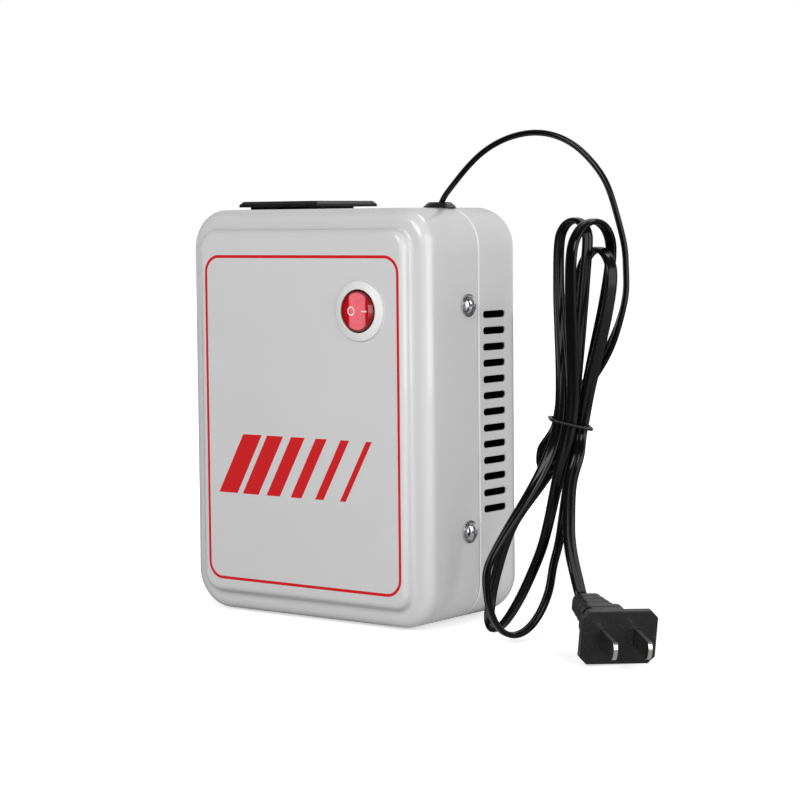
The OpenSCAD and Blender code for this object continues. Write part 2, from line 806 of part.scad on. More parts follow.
module switch_terminals() {
    color("goldenrod") at_switch() {
        translate([-terminal_t / 2, ridge_y, -terminal_w / 2])
            cube([terminal_t, terminal_end - ridge_y, terminal_w]);
        translate([0, ridge_y, 0]) cylinder(r = ridge_r, h = terminal_w, center = true);
        translate([-contact_half - terminal_t / 2, side_post_y, -terminal_w / 2])
            cube([terminal_t, terminal_end - side_post_y, terminal_w]);
    }
}

// Outlet

module blade_places() {
    for (s = [-1, 1]) {
        translate([s * blade_pitch / 2, 0, 0]) children();
    }
}

// The faceplate's outline along one side, extruded along the other
module bevelled_bar(w, len) {
    translate([0, len / 2, 0]) rotate([90, 0, 0]) linear_extrude(len) polygon([
        [-w / 2, neck_h], [w / 2, neck_h], [w / 2, plate_top - plate_bevel], [w / 2 - plate_bevel, plate_top],
        [-w / 2 + plate_bevel, plate_top], [-w / 2, plate_top - plate_bevel]]);
}

module socket_faceplate() {
    color("#222222") at_outlet() difference() {
        union() {
            translate([plate_shift, 0, 0]) intersection() {
                bevelled_bar(plate_w, plate_d);
                rotate([0, 0, 90]) bevelled_bar(plate_d, plate_w);
            }
            translate([-neck_w / 2, -neck_d / 2, 0]) cube([neck_w, neck_d, neck_h]);
        }
        blade_places() translate([0, 0, plate_top / 2])
            cube([slot_t, slot_w, plate_top + 2 * cut], center = true);
        translate([0, 0, -cut]) cylinder(d = plate_screw_d + hole_gap, h = plate_top + 2 * cut);
        translate([0, 0, plate_top - plate_head_h - fit_gap])
            cylinder(
                d1 = plate_screw_d + 2 * fit_gap,
                d2 = plate_head_d + 2 * fit_gap,
                h = plate_head_h + fit_gap);
    }
}

module socket_base() {
    color("#303030") at_outlet() {
        difference() {
            translate([0, 0, -base_h]) linear_extrude(base_h) rounded_rect(base_w, base_d, base_r);
            blade_places() {
                translate([-pocket_w / 2, -pocket_d / 2, -pocket_deep])
                    cube([pocket_w, pocket_d, pocket_deep + cut]);
                translate([-tab_t / 2 - fit_gap, -tab_w / 2 - fit_gap, -base_h - cut])
                    cube([tab_t + 2 * fit_gap, tab_w + 2 * fit_gap, base_h]);
            }
            translate([0, 0, plate_top - plate_screw_len - cut])
                cylinder(d = plate_screw_d + thread_gap, h = plate_screw_len);
        }
        for (a = [0, 180]) {
            rotate([0, 0, a]) base_barb();
        }
    }
}

// A snap barb on the base's side that catches under the case's top
module base_barb() {
    half = 5;
    side = base_w / 2;
    translate([0, half, 0]) rotate([90, 0, 0]) linear_extrude(2 * half) polygon([
        [side - 0.5, -barb_top], [side + barb_out, -barb_top], [side + barb_out, -barb_top - 1],
        [side - 0.5, -barb_top - barb_len]]);
}

module socket_contacts() {
    leaf_h = pocket_deep - 1;
    color("gold") at_outlet() blade_places() {
        for (s = [-1, 1]) {
            translate([s * (leaf_gap + leaf_t) / 2 - leaf_t / 2, -blade_w / 2, -pocket_deep])
                cube([leaf_t, blade_w, leaf_h]);
        }
        translate([-contact_wide / 2, -blade_w / 2, -pocket_deep]) cube([contact_wide, blade_w, leaf_t]);
        translate([-tab_t / 2, -tab_w / 2, -base_h - tab_len])
            cube([tab_t, tab_w, base_h + tab_len - pocket_deep + leaf_t]);
    }
}

module socket_screw() {
    color("silver") at_outlet() difference() {
        union() {
            translate([0, 0, plate_top - plate_screw_len])
                cylinder(d = plate_screw_d, h = plate_screw_len - fit_gap);
            translate([0, 0, plate_top - plate_head_h])
                cylinder(d1 = plate_screw_d, d2 = plate_head_d, h = plate_head_h);
        }
        for (a = [45, 135]) {
            rotate([0, 0, a]) translate([-recess_long / 2, -recess_w / 2, plate_top - recess_deep / 2])
                cube([recess_long, recess_w, recess_deep]);
        }
    }
}

// Cord bush and cord

module cord_bushing() {
    dome_r = (bush_d * bush_d / 4 + bush_crown * bush_crown) / (2 * bush_crown);
    under = -bush_under_top - bush_under_t;
    color("#202020") at_case() translate([bush_x, seam_y, case_h]) rotate_extrude() difference() {
        union() {
            intersection() {
                translate([0, bush_crown - dome_r]) circle(dome_r);
                square([bush_d / 2, bush_crown]);
            }
            translate([0, under]) square([bush_neck_d / 2, bush_crown / 2 - under]);
            translate([0, under]) square([bush_under_d / 2, bush_under_t]);
        }
        translate([0, under - cut]) square([bush_bore_d / 2, bush_crown - under + 2 * cut]);
        polygon([[0, -cut], [bush_bore_d / 2, -cut], [bush_flare_d / 2, bush_crown - 0.9],
            [bush_flare_d / 2, bush_crown + cut], [0, bush_crown + cut]]);
    }
}

function lean(v) =
    let (bend = sqrt(v * v + lean_blend * lean_blend) - lean_blend)
    (lean_up + lean_down) / 2 * v + (lean_up - lean_down) / 2 * bend;
function plain_at(p) = waist + p[0] * across + p[2] * toward + [0, 0, p[1]];
function hank_at(p) = plain_at([p[0] + lean(p[1]), p[1], p[2]]);
function eased(t) = t * t * (3 - 2 * t);
function strand_at(from, to, t, v) =
    let (p = from + (to - from) * eased(pow(t, v < 0 ? spread_late : 1)))
    hank_at([p[0], v * t, p[1]]);

// One loop of the hank, from the waist out to its bend and back, without the waist's second crossing
function loop_points(l) =
    let (out = slots[l[0]], back = slots[l[1]], mid = l[5], half = l[6],
        deep = l[3], sway = [l[4], 0], side = sign(l[2]), v = side * (abs(l[2]) - deep))
    concat(
        [for (i = [0 : run_rings - 1]) strand_at(out, mid + half, i / run_rings, v)],
        [for (i = [0 : bend_rings])
            let (a = 180 * i / bend_rings, p = mid + half * cos(a) + sway * sin(a))
            hank_at([p[0], v + side * deep * sin(a), p[1]])],
        [for (i = [run_rings - 1 : -1 : 1]) strand_at(back, mid - half, i / run_rings, v)]);

function slot_at(i) = hank_at([slots[i][0], 0, slots[i][1]]);

// The strands cross the waist straight, so the cord's stretches meet there square to it
lead_slot = slot_at(5);
tail_slot = slot_at(2);
waist_run = cord_d * unit(hank_at([0, -1, 0]) - hank_at([0, 1, 0]));
hank_loops = [for (l = loops) each loop_points(l)];
hank_route = concat(
    [lead_slot, lead_slot + waist_run],
    [for (i = [1 : len(hank_loops) - 1]) hank_loops[i]],
    [tail_slot - waist_run, tail_slot]);

// Least distance between stretches of a route that lie far apart along it, measured on points of its lines
function cut_finely(route, parts) = [
    for (i = [0 : len(route) - 2], j = [0 : parts - 1]) route[i] + (route[i + 1] - route[i]) * j / parts];
function least_distance(points, apart) =
    min([
        for (i = [0 : len(points) - 1 - apart], j = [i + apart : len(points) - 1])
            norm(points[i] - points[j])]);

module cord_lead() {
    bush = [bush_x, ledge_y + seam_y, case_top];
    join = [for (p = lead_join) hank_at(p)];
    low = join[0][2];
    drop = case_top + lead_rise[len(lead_rise) - 1][2] - low;
    route = concat(
        [for (part = [1, 0.5, 0.1]) bush - [0, 0, part * cord_inside]],
        [for (p = lead_rise) bush + p],
        [for (p = lead_fall) [case_side + p[0], bush[1] + p[1], low + p[2] * drop]],
        join,
        [lead_slot - waist_run, lead_slot]);
    color("#1a1a1a") tube(route, cord_r, 8);
}

module cord_hank() {
    echo(hank_least_gap = least_distance(cut_finely(hank_route, 4), 24) - cord_d);
    color("#1a1a1a") tube(hank_route, cord_r, 6);
}

module cord_tail() {
    route = concat(
        [tail_slot, tail_slot + waist_run],
        [for (p = tail_drop) plain_at(p)],
        [plug_rear - plug_straight * plug_forward, plug_rear]);
    color("#1a1a1a") tube(route, cord_r, 8);
}

// A wire bent round the bundle's waist: a rounded rectangle of straight bars and quarter bends
module cord_tie() {
    low = [min([for (s = slots) s[0]]), min([for (s = slots) s[1]])];
    high = [max([for (s = slots) s[0]]), max([for (s = slots) s[1]])];
    bend_r = cord_r + tie_gap + tie_d / 2;
    middle = (low + high) / 2;
    half = (high - low) / 2;
    color("#111111") translate(waist) rotate([0, 0, hank_yaw]) rotate([0, tie_tilt, 0])
        translate([middle[0], -middle[1], 0]) {
            for (s = [-1, 1]) {
                translate([-half[0], s * (half[1] + bend_r), 0]) rotate([0, 90, 0])
                    cylinder(d = tie_d, h = 2 * half[0]);
                translate([s * (half[0] + bend_r), half[1], 0]) rotate([90, 0, 0])
                    cylinder(d = tie_d, h = 2 * half[1]);
            }
            for (c = [[1, 1, 0], [-1, 1, 90], [-1, -1, 180], [1, -1, 270]]) {
                translate([c[0] * half[0], c[1] * half[1], 0]) rotate([0, 0, c[2]])
                    rotate_extrude(angle = 90) translate([bend_r, 0]) circle(d = tie_d);
            }
        }
}

// Plug: drawn with its blades along +X, from the flange's front face

module plug_step(from, len, w, h, r) {
    translate([-from - len, 0, 0]) rotate([90, 0, 90]) linear_extrude(len) rounded_rect(w, h, r);
}

module flange_outline() {
    polygon([
        for (c = [[1, 1], [-1, 1], [-1, -1], [1, -1]])
            let (w = flange_w / 2, h = flange_h / 2, first = c[0] * c[1] > 0)
            each [
                [c[0] * (first ? w : w - flange_cut), c[1] * (first ? h - flange_cut : h)],
                [c[0] * (first ? w - flange_cut : w), c[1] * (first ? h : h - flange_cut)]]]);
}

module plug_body() {
    rib_pitch = relief_len / rib_count;
    relief_start = flange_t + grip_len;
    color("#1c1c1c") at_plug() difference() {
        union() {
            translate([-flange_t, 0, 0]) rotate([90, 0, 90]) linear_extrude(flange_t) flange_outline();
            plug_step(flange_t, grip_len, grip_w, grip_h, 4);
            plug_step(relief_start, relief_len, rib_last[0] - 2.4, rib_last[1] - 2.4, 2);
            for (i = [0 : rib_count - 1]) {
                late = (i - 1) / (rib_count - 2);
                rib = i == 0 ? rib_first : rib_second + (rib_last - rib_second) * late;
                plug_step(relief_start + i * rib_pitch + rib_groove, rib_pitch - rib_groove, rib[0], rib[1], 3);
            }
        }
        blade_solids(mould_gap);
    }
}

module blade_solids(gap) {
    tip_r = blade_w / 2 + gap;
    for (s = [-1, 1]) {
        translate([0, s * blade_pitch / 2 + blade_t / 2 + gap, 0]) rotate([90, 0, 0])
            linear_extrude(blade_t + 2 * gap) {
                translate([-blade_root - gap, -tip_r]) square([blade_root + blade_len - 2 + gap, 2 * tip_r]);
                intersection() {
                    translate([blade_len - tip_r * 1.4, 0]) circle(tip_r * 1.4);
                    translate([blade_len - 2, -tip_r]) square([2, 2 * tip_r]);
                }
            }
    }
}

module plug_blades() {
    color("silver") at_plug() blade_solids(0);
}

// Transformer

module core_e() {
    color("slategray") at_case() difference() {
        translate([-core_w / 2, core_front, core_low]) cube([core_w, stack_t, core_e_h]);
        for (s = [-1, 1]) {
            translate([s * (leg_w + window_w) / 2 - window_w / 2, core_front - cut, window_low])
                cube([window_w, stack_t + 2 * cut, window_h + cut]);
        }
        core_holes();
    }
}

module core_i() {
    color("slategray") at_case() difference() {
        translate([-core_w / 2, core_front, core_low + core_e_h]) cube([core_w, stack_t, side_leg]);
        core_holes();
    }
}

module core_holes() {
    bolt_places() translate([0, core_front - cut, 0]) facing_back()
        cylinder(d = core_hole_d, h = stack_t + 2 * cut);
}

module bobbin() {
    color("ivory") at_case() translate([0, core_mid, window_low]) difference() {
        union() {
            linear_extrude(bobbin_h) rounded_rect(tube_w + 2 * bobbin_t, tube_d + 2 * bobbin_t, bobbin_t);
            for (z = [0, bobbin_h - bobbin_t]) {
                translate([0, 0, z]) linear_extrude(bobbin_t) rounded_rect(cheek_w, cheek_d, winding_r);
            }
        }
        translate([-tube_w / 2, -tube_d / 2, -cut]) cube([tube_w, tube_d, bobbin_h + 2 * cut]);
    }
}

// One layer of the coil: a rounded rectangular ring round the bobbin
module winding(w, d, t, r) {
    at_case() translate([0, core_mid, winding_low]) linear_extrude(winding_h) difference() {
        rounded_rect(w + 2 * t, d + 2 * t, r + t);
        rounded_rect(w, d, r);
    }
}

module primary_winding() {
    color("peru") winding(primary_w, primary_d, primary_t, winding_r);
}

module secondary_winding() {
    color("chocolate") winding(secondary_w, secondary_d, secondary_t, winding_r + primary_t);
}

module winding_tape() {
    color("khaki") winding(tape_w, tape_d, tape_t, winding_r + primary_t + secondary_t);
}

module thermal_cutout() {
    color("white") at_case() translate([-cutout_len / 2, tape_front - cutout_t, cutout_z - cutout_w / 2])
        cube([cutout_len, cutout_t, cutout_w]);
}

// Core bolts: each place's Z runs from the back wall's outer face into the case
module core_bolt_places() {
    at_case() bolt_places() translate([0, case_d, 0]) rotate([90, 0, 0]) children();
}

module core_bolts() {
    bolt_len = sheet_t + spacer_len + stack_t + core_nut_t + bolt_past_nut;
    color("silver") core_bolt_places() {
        rotate([180, 0, 0]) pan_head(bolt_head_d, bolt_head_h);
        cylinder(d = bolt_d, h = bolt_len);
    }
}

module core_spacers() {
    color("lightgray") core_bolt_places() translate([0, 0, sheet_t]) difference() {
        cylinder(d = spacer_d, h = spacer_len);
        translate([0, 0, -cut]) cylinder(d = bolt_hole_d, h = spacer_len + 2 * cut);
    }
}

module core_nuts() {
    color("silver") core_bolt_places() translate([0, 0, sheet_t + spacer_len + stack_t]) difference() {
        cylinder(d = core_nut_w / cos(30), h = core_nut_t, $fn = 6);
        translate([0, 0, -cut]) cylinder(d = bolt_d + thread_gap, h = core_nut_t + 2 * cut);
    }
}

// Lead wires: cord to switch, cord to primary, switch to cut-out, cut-out to primary, secondary to outlet
module lead_wires() {
    wire_gap = 0.1;
    cord_end = [bush_x, seam_y, case_h - cord_inside - wire_gap];
    plug_in = [switch_x, terminal_end - panel_step + wire_gap, switch_z];
    side_in = plug_in - [contact_half, 0, 0];
    cut_in = [cutout_len / 2 + wire_gap, cutout_y, cutout_z];
    cut_out = [-cut_in[0], cutout_y, cutout_z];
    rear_y = core_mid + cheek_d / 2 - 5.5;
    front_lead_y = core_mid - cheek_d / 2 + 5.5;
    wire_z = bobbin_top + wire_gap;
    socket_z = case_h - base_h - tab_len - wire_gap;
    to_switch = [
        cord_end + [-conductor_x, 0, 0], cord_end + [-conductor_x, 0, -6], cord_end + [-2.5, 0.5, -13],
        plug_in + [5, 11.5, 6.4], plug_in + [1.5, 9.5, 1.4], plug_in + [0, 6, 0], plug_in];
    to_primary = [
        cord_end + [conductor_x, 0, 0], cord_end + [conductor_x, 0, -6], cord_end + [4, 2.5, -16],
        [bush_x + 6, rear_y - 12.5, wire_z + 44], [bush_x + 2, rear_y - 4.5, wire_z + 30],
        [32, rear_y, wire_z + 20], [22, rear_y, wire_z + 12], [18, rear_y, wire_z + 6], [18, rear_y, wire_z]];
    to_cutout = [
        side_in, side_in + [0, 4.4, -0.6], side_in + [0, 6, -6.6], side_in + [0.5, 2.5, -16],
        [26, front_lead_y - 1.5, wire_z + 18], [24, cutout_y - 1.2, wire_z + 8],
        [18, cutout_y - 1.7, wire_z - 4], cut_in + [5, -1.2, 2], cut_in + [1.5, 0, 0], cut_in];
    from_cutout = [
        cut_out, cut_out + [-3.9, 0, 0.5], cut_out + [-7.9, -0.4, 3.5], [-18.5, cutout_y - 1.2, wire_z - 4],
        [-18.8, cutout_y - 0.2, wire_z + 3], [-18.4, front_lead_y - 3.5, wire_z + 5.5],
        [-18, front_lead_y - 0.3, wire_z + 4], [-18, front_lead_y, wire_z]];
    color("firebrick") at_case() {
        for (route = [to_switch, to_primary, to_cutout, from_cutout]) {
            tube(route, wire_d / 2, 8);
        }
        for (s = [-1, 1]) {
            top = [outlet_x + s * blade_pitch / 2, seam_y, socket_z];
            low = [-17 + 5 * s, rear_y, wire_z];
            tube([low, low + [0, 0, 8], low + [-2, -2.5, 20], [top[0], top[1] + 11.5, top[2] - 24],
                top + [0, 2, -10], top + [0, 0, -5], top], wire_d / 2, 8);
        }
    }
}

front_cover();
rear_cover();
case_screws();
screw_washers();
weld_nuts();
rubber_feet();
switch_housing();
switch_rocker();
rocker_plunger();
plunger_spring();
moving_contact();
switch_terminals();
socket_faceplate();
socket_base();
socket_contacts();
socket_screw();
cord_bushing();
cord_lead();
cord_hank();
cord_tie();
cord_tail();
plug_body();
plug_blades();
core_e();
core_i();
bobbin();
primary_winding();
secondary_winding();
winding_tape();
thermal_cutout();
core_bolts();
core_spacers();
core_nuts();
lead_wires();
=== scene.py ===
"""Looks of the travel voltage converter: grey enamel with a printed front, red rocker, black vinyl cord.

Metres, in the part's own frame: +Z is up, the front faces -Y and the origin is on the floor under the box.
"""

import math

import bpy
import numpy as np
from mathutils import Matrix, Vector


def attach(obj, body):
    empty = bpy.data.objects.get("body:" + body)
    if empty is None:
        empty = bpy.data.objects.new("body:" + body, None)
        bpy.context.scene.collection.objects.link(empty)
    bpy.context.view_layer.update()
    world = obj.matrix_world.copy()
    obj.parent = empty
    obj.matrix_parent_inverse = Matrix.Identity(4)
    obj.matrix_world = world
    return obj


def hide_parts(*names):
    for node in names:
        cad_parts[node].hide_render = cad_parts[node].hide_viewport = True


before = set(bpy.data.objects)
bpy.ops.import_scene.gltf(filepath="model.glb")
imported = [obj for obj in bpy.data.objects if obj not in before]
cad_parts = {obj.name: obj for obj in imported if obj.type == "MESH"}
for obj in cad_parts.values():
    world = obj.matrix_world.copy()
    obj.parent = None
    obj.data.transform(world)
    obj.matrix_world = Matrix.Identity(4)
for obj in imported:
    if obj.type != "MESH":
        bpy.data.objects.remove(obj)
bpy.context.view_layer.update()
MM = 0.001
WHITE = (1.0, 1.0, 1.0, 1.0)

# Camera
CAMERA_AT = (0.59007, -0.74242, 0.15801)
CAMERA_YAW = math.radians(37.325)
CAMERA_PITCH = math.radians(4.355)
CAMERA_ROLL = math.radians(-0.538)
CAMERA_LENS = 105.888
SENSOR_WIDTH = 36.0
CLIP_NEAR = 0.05
CLIP_FAR = 20.0

# Tent: its strength, its strength at the left front in reflections, and the share that is left overhead.
# An edge says how far a ray runs in a direction, from minus one to one, where a change starts and ends
TENT_LEVEL = 0.34
TENT_DARK = 0.03
TENT_OVERHEAD = 0.35
BACKDROP_SHARE = 0.6
BACKDROP_EDGE = (0.2, 0.75)
DARK_EDGE = (-0.1, 0.8)
OVERHEAD_EDGE = (0.3, 0.9)

# Softboxes: place, width and height, and watts
LAMP_AIM = (0.03, 0.0, 0.09)
SOFTBOXES = {
    "front_box": ((0.15, -1.6, 1.0), (1.0, 0.8), 16.0),
    "rear_box": ((0.3, 1.15, 1.8), (0.8, 0.6), 7.5),
    "right_box": ((1.22, -0.17, 0.35), (1.8, 0.9), 12.5),
}

# Floor: the camera sees it lifted to white beyond the shadow, and reflections see it grey with a shine
FLOOR_HALF = 3.0
FLOOR_TONE = 234
FLOOR_MIRRORED = 110
SHADOW_REACH = (0.16, 0.45)
SHADOW_LIFT = 0.6
SHINE_WAY = (0.99, -0.14)
SHINE_EDGE = (0.7, 0.85)
SHINE_LEVEL = 1.0
SHINE_REACH = (0.22, 0.5)
SHINE_NEAR = 0.3
REACH_LEAST = 0.01

# Places on the case, from the front cover's ledge, which is given in millimetres
LEDGE_Y = -29.301
PANEL_FACE = (LEDGE_Y - 4.5) * MM
REAR_START = (LEDGE_Y + 32.7) * MM
REAR_FACE = (LEDGE_Y + 65) * MM
CASE_MIDDLE = (0.0, 82 * MM)
CASE_HALF = (60 * MM, 81 * MM)
CORNER_R = 15.5 * MM
REAR_EDGE_R = 12 * MM
HALF_SHEET = 0.5 * MM
LIP_DEPTH = 2 * MM
# Width of a painted highlight along the rear cover's front edge and lip at the seam
SEAM_PAINTED_HIGHLIGHT = 0.9 * MM

# Print on the panel: a frame line, and a row of slanted bars whose widths, in pitches, fall from bar to bar
PRINT_DEPTH = 0.3 * MM
FRAME_MIDDLE = (0.5 * MM, 79.5 * MM)
FRAME_HALF = (48.5 * MM, 64.9 * MM)
FRAME_R = 6.5 * MM
FRAME_LINE_HALF = 0.6 * MM
BAR_COUNT = 6.0
BAR_PITCH = 12.5 * MM
BAR_START = -36 * MM
BAR_SLANT = 0.55
BAR_MIDDLE = 61.4 * MM
BAR_HALF_HEIGHT = 12 * MM
BAR_WIDTH = 0.78
BAR_NARROWER = 0.11

# Rocker, from its middle: a painted highlight down the middle, a painted shadow round the rim, and a ring
# and a bar on the face
SWITCH_AT = (31 * MM, PANEL_FACE, 123.6 * MM)
HIGHLIGHT_MIDDLE = 0.4 * MM
HIGHLIGHT_REACH = (4.0 * MM, 4.9 * MM)
RIM_SHADOW_REACH = (6.9 * MM, 7.5 * MM)
RING_MIDDLE = -3.2 * MM
RING_R = 1.55 * MM
ON_MIDDLE = 3.9 * MM
ON_HALF = 1.7 * MM
MARK_HALF = 0.24 * MM
MARK_DEPTH = 4 * MM

# Finishes: where a grain is low and high, how far a roughness varies, specks of dust, the thickness of iron
# sheets and of copper turns, and the colour sockets of a Mix node
GRAIN_RANGE = (0.3, 0.7)
ROUGH_LESS = 0.05
ROUGH_MORE = 0.07
DUST_RANGE = (0.78, 0.81)
DUST_SHARE = 0.25
DUST_TONE = 150
SHEET_PITCH = 0.5 * MM
SHEET_EDGE = 0.25
TURN_PITCH = 0.9 * MM
MIX_UNDER = 6
MIX_OVER = 7
MIX_RESULT = 2
BEVEL_SAMPLES = 8

# Cord, in millimetres. The rise starts at the bush, and the fall has its height as a share of the drop.
# The join and the tail are rows of across, up and toward the front, from the waist. Lies are in degrees
CORD_WIDE = 4.7
CORD_THICK = 2.35
CORD_POWER = 2.6
CORD_GROOVE = 0.2
GROOVE_WIDTH = 0.55
CORD_SIDES = 40
CORD_SPACING = 1.2
ROUTE_STEPS = 8000
LIE_WINDOW = 9
CASE_SIDE = 60.0
BUSH = np.array([42.0, LEDGE_Y + 32.45, 163.0])
CORD_INSIDE = np.array([12.0, 6.0, 1.2])
LEAD_LIE = 90.0
LEAD_RISE = np.array([
    [0.5, 0, 0.8], [2, 0.1, 3.8], [5, 0.3, 7.4], [11.5, 0.8, 14.2], [19, 1.3, 20.5], [27.5, 1.8, 25],
    [36, 2.3, 27.4], [43.5, 2.8, 28]])
LEAD_FALL = np.array([
    [32.6, 3.3, 0.986], [42.5, 4.3, 0.922], [49.4, 4.8, 0.837], [55.4, 5.3, 0.723], [59, 5.5, 0.595],
    [61.5, 6, 0.467], [63, 6.4, 0.361], [63.5, 6.4, 0.254], [63.5, 6.4, 0.141]])
LEAD_JOIN = np.array([[15.4, 40, -0.5], [12.9, 30, -3.6], [7.9, 19, -7.6], [3, 11, -7.8]])
JOIN_LIES = np.array([84.0, 62.0, 34.0, 14.0])
TAIL_DROP = np.array([
    [2.3, -12, 6.2], [0.4, -18, 7.3], [-0.9, -26, 7.6], [-1.2, -34, 7.9], [-1.2, -42, 8.7], [-0.2, -50, 10],
    [1.4, -57.5, 12.2]])
TAIL_LIES = np.array([6.0, 5.0, 4.0, 2.0, 0.0, -5.0, -9.0])

# Hank: loops that leave the waist through one slot and come back through another. Each loop has its two
# slots, the height of its far end, the height of its bend, the far end's sideways reach, and the bend's
# middle and half width
WAIST = np.array([107.0, LEDGE_Y + 25.95, 81.6])
HANK_YAW = math.radians(37)
ACROSS = np.array([math.cos(HANK_YAW), math.sin(HANK_YAW), 0.0])
TOWARD = np.array([math.sin(HANK_YAW), -math.cos(HANK_YAW), 0.0])
UP = np.array([0.0, 0.0, 1.0])
LEAN_UP = math.tan(math.radians(4))
LEAN_DOWN = math.tan(math.radians(17))
LEAN_BLEND = 8.0
SLOTS = np.array([[-4.5, 2.5], [-0.4, 5], [4.4, 2.5], [-4.5, -2.5], [0, 0], [0, -5], [4.4, -2.6]])
LOOPS = (
    (5, 1, -79, 33, -1.6, (-4.1, -6), (-6.5, -7.5)),
    (1, 6, 75.5, 12, 0, (2.3, 5.5), (-8, 9)),
    (6, 0, -79, 25, 5.3, (-3.9, 7), (12.6, -5)),
    (0, 4, 76, 8, 0, (-4.1, -2.8), (-4.8, -6.2)),
    (4, 3, -18, 8, 0, (-4.2, -2.1), (4.2, 1.7)),
    (3, 2, 65, 11, 0, (5, 0), (-5, -10)))
SPREAD_LATE = 1.25
LEAD_SLOT = 5
TAIL_SLOT = 2
WAIST_LIE = 8.0
WAIST_RUN = 4.2
RUN_RINGS = 7
BEND_RINGS = 10

# Plug, in millimetres
PLUG_YAW = math.radians(-39.5)
PLUG_PITCH = math.radians(9.5)
PLUG_FORWARD = np.array([
    math.cos(PLUG_YAW) * math.cos(PLUG_PITCH),
    math.sin(PLUG_YAW) * math.cos(PLUG_PITCH),
    -math.sin(PLUG_PITCH)])
PLUG_FACE = np.array([151.342, LEDGE_Y - 11.074, 10.068])
PLUG_LEN = 38.0
PLUG_REAR = PLUG_FACE - PLUG_LEN * PLUG_FORWARD
PLUG_STRAIGHT = 5.0
PLUG_INSIDE = 3.0
PLUG_LIE = -13.5


def place_camera():
    """The photo's camera: it looks along (-sin yaw cos pitch, cos yaw cos pitch, -sin pitch).

    Its level side and its upright side are turned about that line by the roll.
    """
    ahead = Vector((
        -math.sin(CAMERA_YAW) * math.cos(CAMERA_PITCH),
        math.cos(CAMERA_YAW) * math.cos(CAMERA_PITCH),
        -math.sin(CAMERA_PITCH)))
    level = Vector((math.cos(CAMERA_YAW), math.sin(CAMERA_YAW), 0.0))
    upright = level.cross(ahead)
    right = math.cos(CAMERA_ROLL) * level + math.sin(CAMERA_ROLL) * upright
    top = math.cos(CAMERA_ROLL) * upright - math.sin(CAMERA_ROLL) * level
    data = bpy.data.cameras.new("photo_camera")
    data.sensor_width = SENSOR_WIDTH
    data.lens = CAMERA_LENS
    data.clip_start = CLIP_NEAR
    data.clip_end = CLIP_FAR
    camera = bpy.data.objects.new("photo_camera", data)
    turn = Matrix((right, top, -ahead)).transposed().to_4x4()
    camera.matrix_world = Matrix.Translation(CAMERA_AT) @ turn
    bpy.context.scene.collection.objects.link(camera)
    bpy.context.scene.camera = camera


# Routes


def plain_at(p):
    """Places in the hank's frame, given as rows of across, up and toward the front, from the waist."""
    return WAIST + p[:, :1] * ACROSS + p[:, 1:2] * UP + p[:, 2:] * TOWARD


def hank_at(p):
    """The same places with the hank's lean: a slope above the waist that blends into a steeper one below."""
    v = p[:, 1]
    lean = (LEAN_UP + LEAN_DOWN) / 2 * v
    lean = lean + (LEAN_UP - LEAN_DOWN) / 2 * (np.sqrt(v * v + LEAN_BLEND ** 2) - LEAN_BLEND)
    return plain_at(np.column_stack([p[:, 0] + lean, v, p[:, 2]]))


def eased(t):
    """Three t squared less two t cubed, which starts and ends level."""
    return t * t * (3 - 2 * t)


def loop_points(slot_out, slot_back, height, deep, reach, middle, half):
    """One loop of the hank as rows of across, up, toward and lie.

    It runs from one slot to the bend, goes half an ellipse round the bend, leaning sideways by its reach,
    and runs back to the other slot. The lie is the angle of the cord's wide side from the across direction:
    square to the plane of the bend at the far end, and the waist's own lie at the waist.
    """
    out = SLOTS[slot_out]
    back = SLOTS[slot_back]
    middle = np.array(middle)
    half = np.array(half)
    side = np.sign(height)
    v = side * (abs(height) - deep)
    t = np.arange(RUN_RINGS)[:, None] / RUN_RINGS
    a = np.linspace(0, np.pi, BEND_RINGS + 1)[:, None]
    share = eased(t ** (SPREAD_LATE if height < 0 else 1.0))
    going = out + (middle + half - out) * share
    coming = back + (middle - half - back) * share
    bent = middle + half * np.cos(a) + np.array([reach, 0.0]) * np.sin(a)
    flat = np.concatenate([going, bent, coming[:0:-1]])
    rise = np.concatenate([v * t, v + side * deep * np.sin(a), (v * t)[:0:-1]])
    turn = (math.degrees(math.atan2(-half[0], half[1])) - WAIST_LIE + 90) % 180 - 90
    turned = np.concatenate([eased(t), np.ones_like(a), eased(t)[:0:-1]])
    return np.column_stack([flat[:, 0], rise[:, 0], flat[:, 1], WAIST_LIE + turn * turned[:, 0]])


def cord_points():
    """The cord's points from inside the bush to inside the plug, and the lie of its wide side at each."""
    waist_line = hank_at(np.array([[0, -1.0, 0], [0, 1.0, 0]]))
    down = waist_line[0] - waist_line[1]
    run = WAIST_RUN * down / np.linalg.norm(down)
    slot_places = hank_at(np.column_stack([SLOTS[:, 0], np.zeros(len(SLOTS)), SLOTS[:, 1]]))
    at_waist = np.array([[-1.0], [0.0], [1.0]]) * run
    join = hank_at(LEAD_JOIN)
    drop = BUSH[2] + LEAD_RISE[-1, 2] - join[0, 2]
    fall = np.column_stack([
        CASE_SIDE + LEAD_FALL[:, 0], BUSH[1] + LEAD_FALL[:, 1], join[0, 2] + LEAD_FALL[:, 2] * drop])
    loops = np.concatenate([loop_points(*loop) for loop in LOOPS])[1:]
    in_plug = PLUG_REAR + np.array([[-PLUG_STRAIGHT], [0.0], [PLUG_INSIDE]]) * PLUG_FORWARD
    stretches = (
        (BUSH - CORD_INSIDE[:, None] * UP, LEAD_LIE),
        (BUSH + LEAD_RISE, LEAD_LIE),
        (fall, LEAD_LIE),
        (join, JOIN_LIES),
        (slot_places[LEAD_SLOT] + at_waist, WAIST_LIE),
        (hank_at(loops[:, :3]), loops[:, 3]),
        (slot_places[TAIL_SLOT] + at_waist, WAIST_LIE),
        (plain_at(TAIL_DROP), TAIL_LIES),
        (in_plug, PLUG_LIE))
    points = np.concatenate([p for p, lie in stretches])
    lies = np.concatenate([np.broadcast_to(lie, len(p)) for p, lie in stretches])
    return points, lies


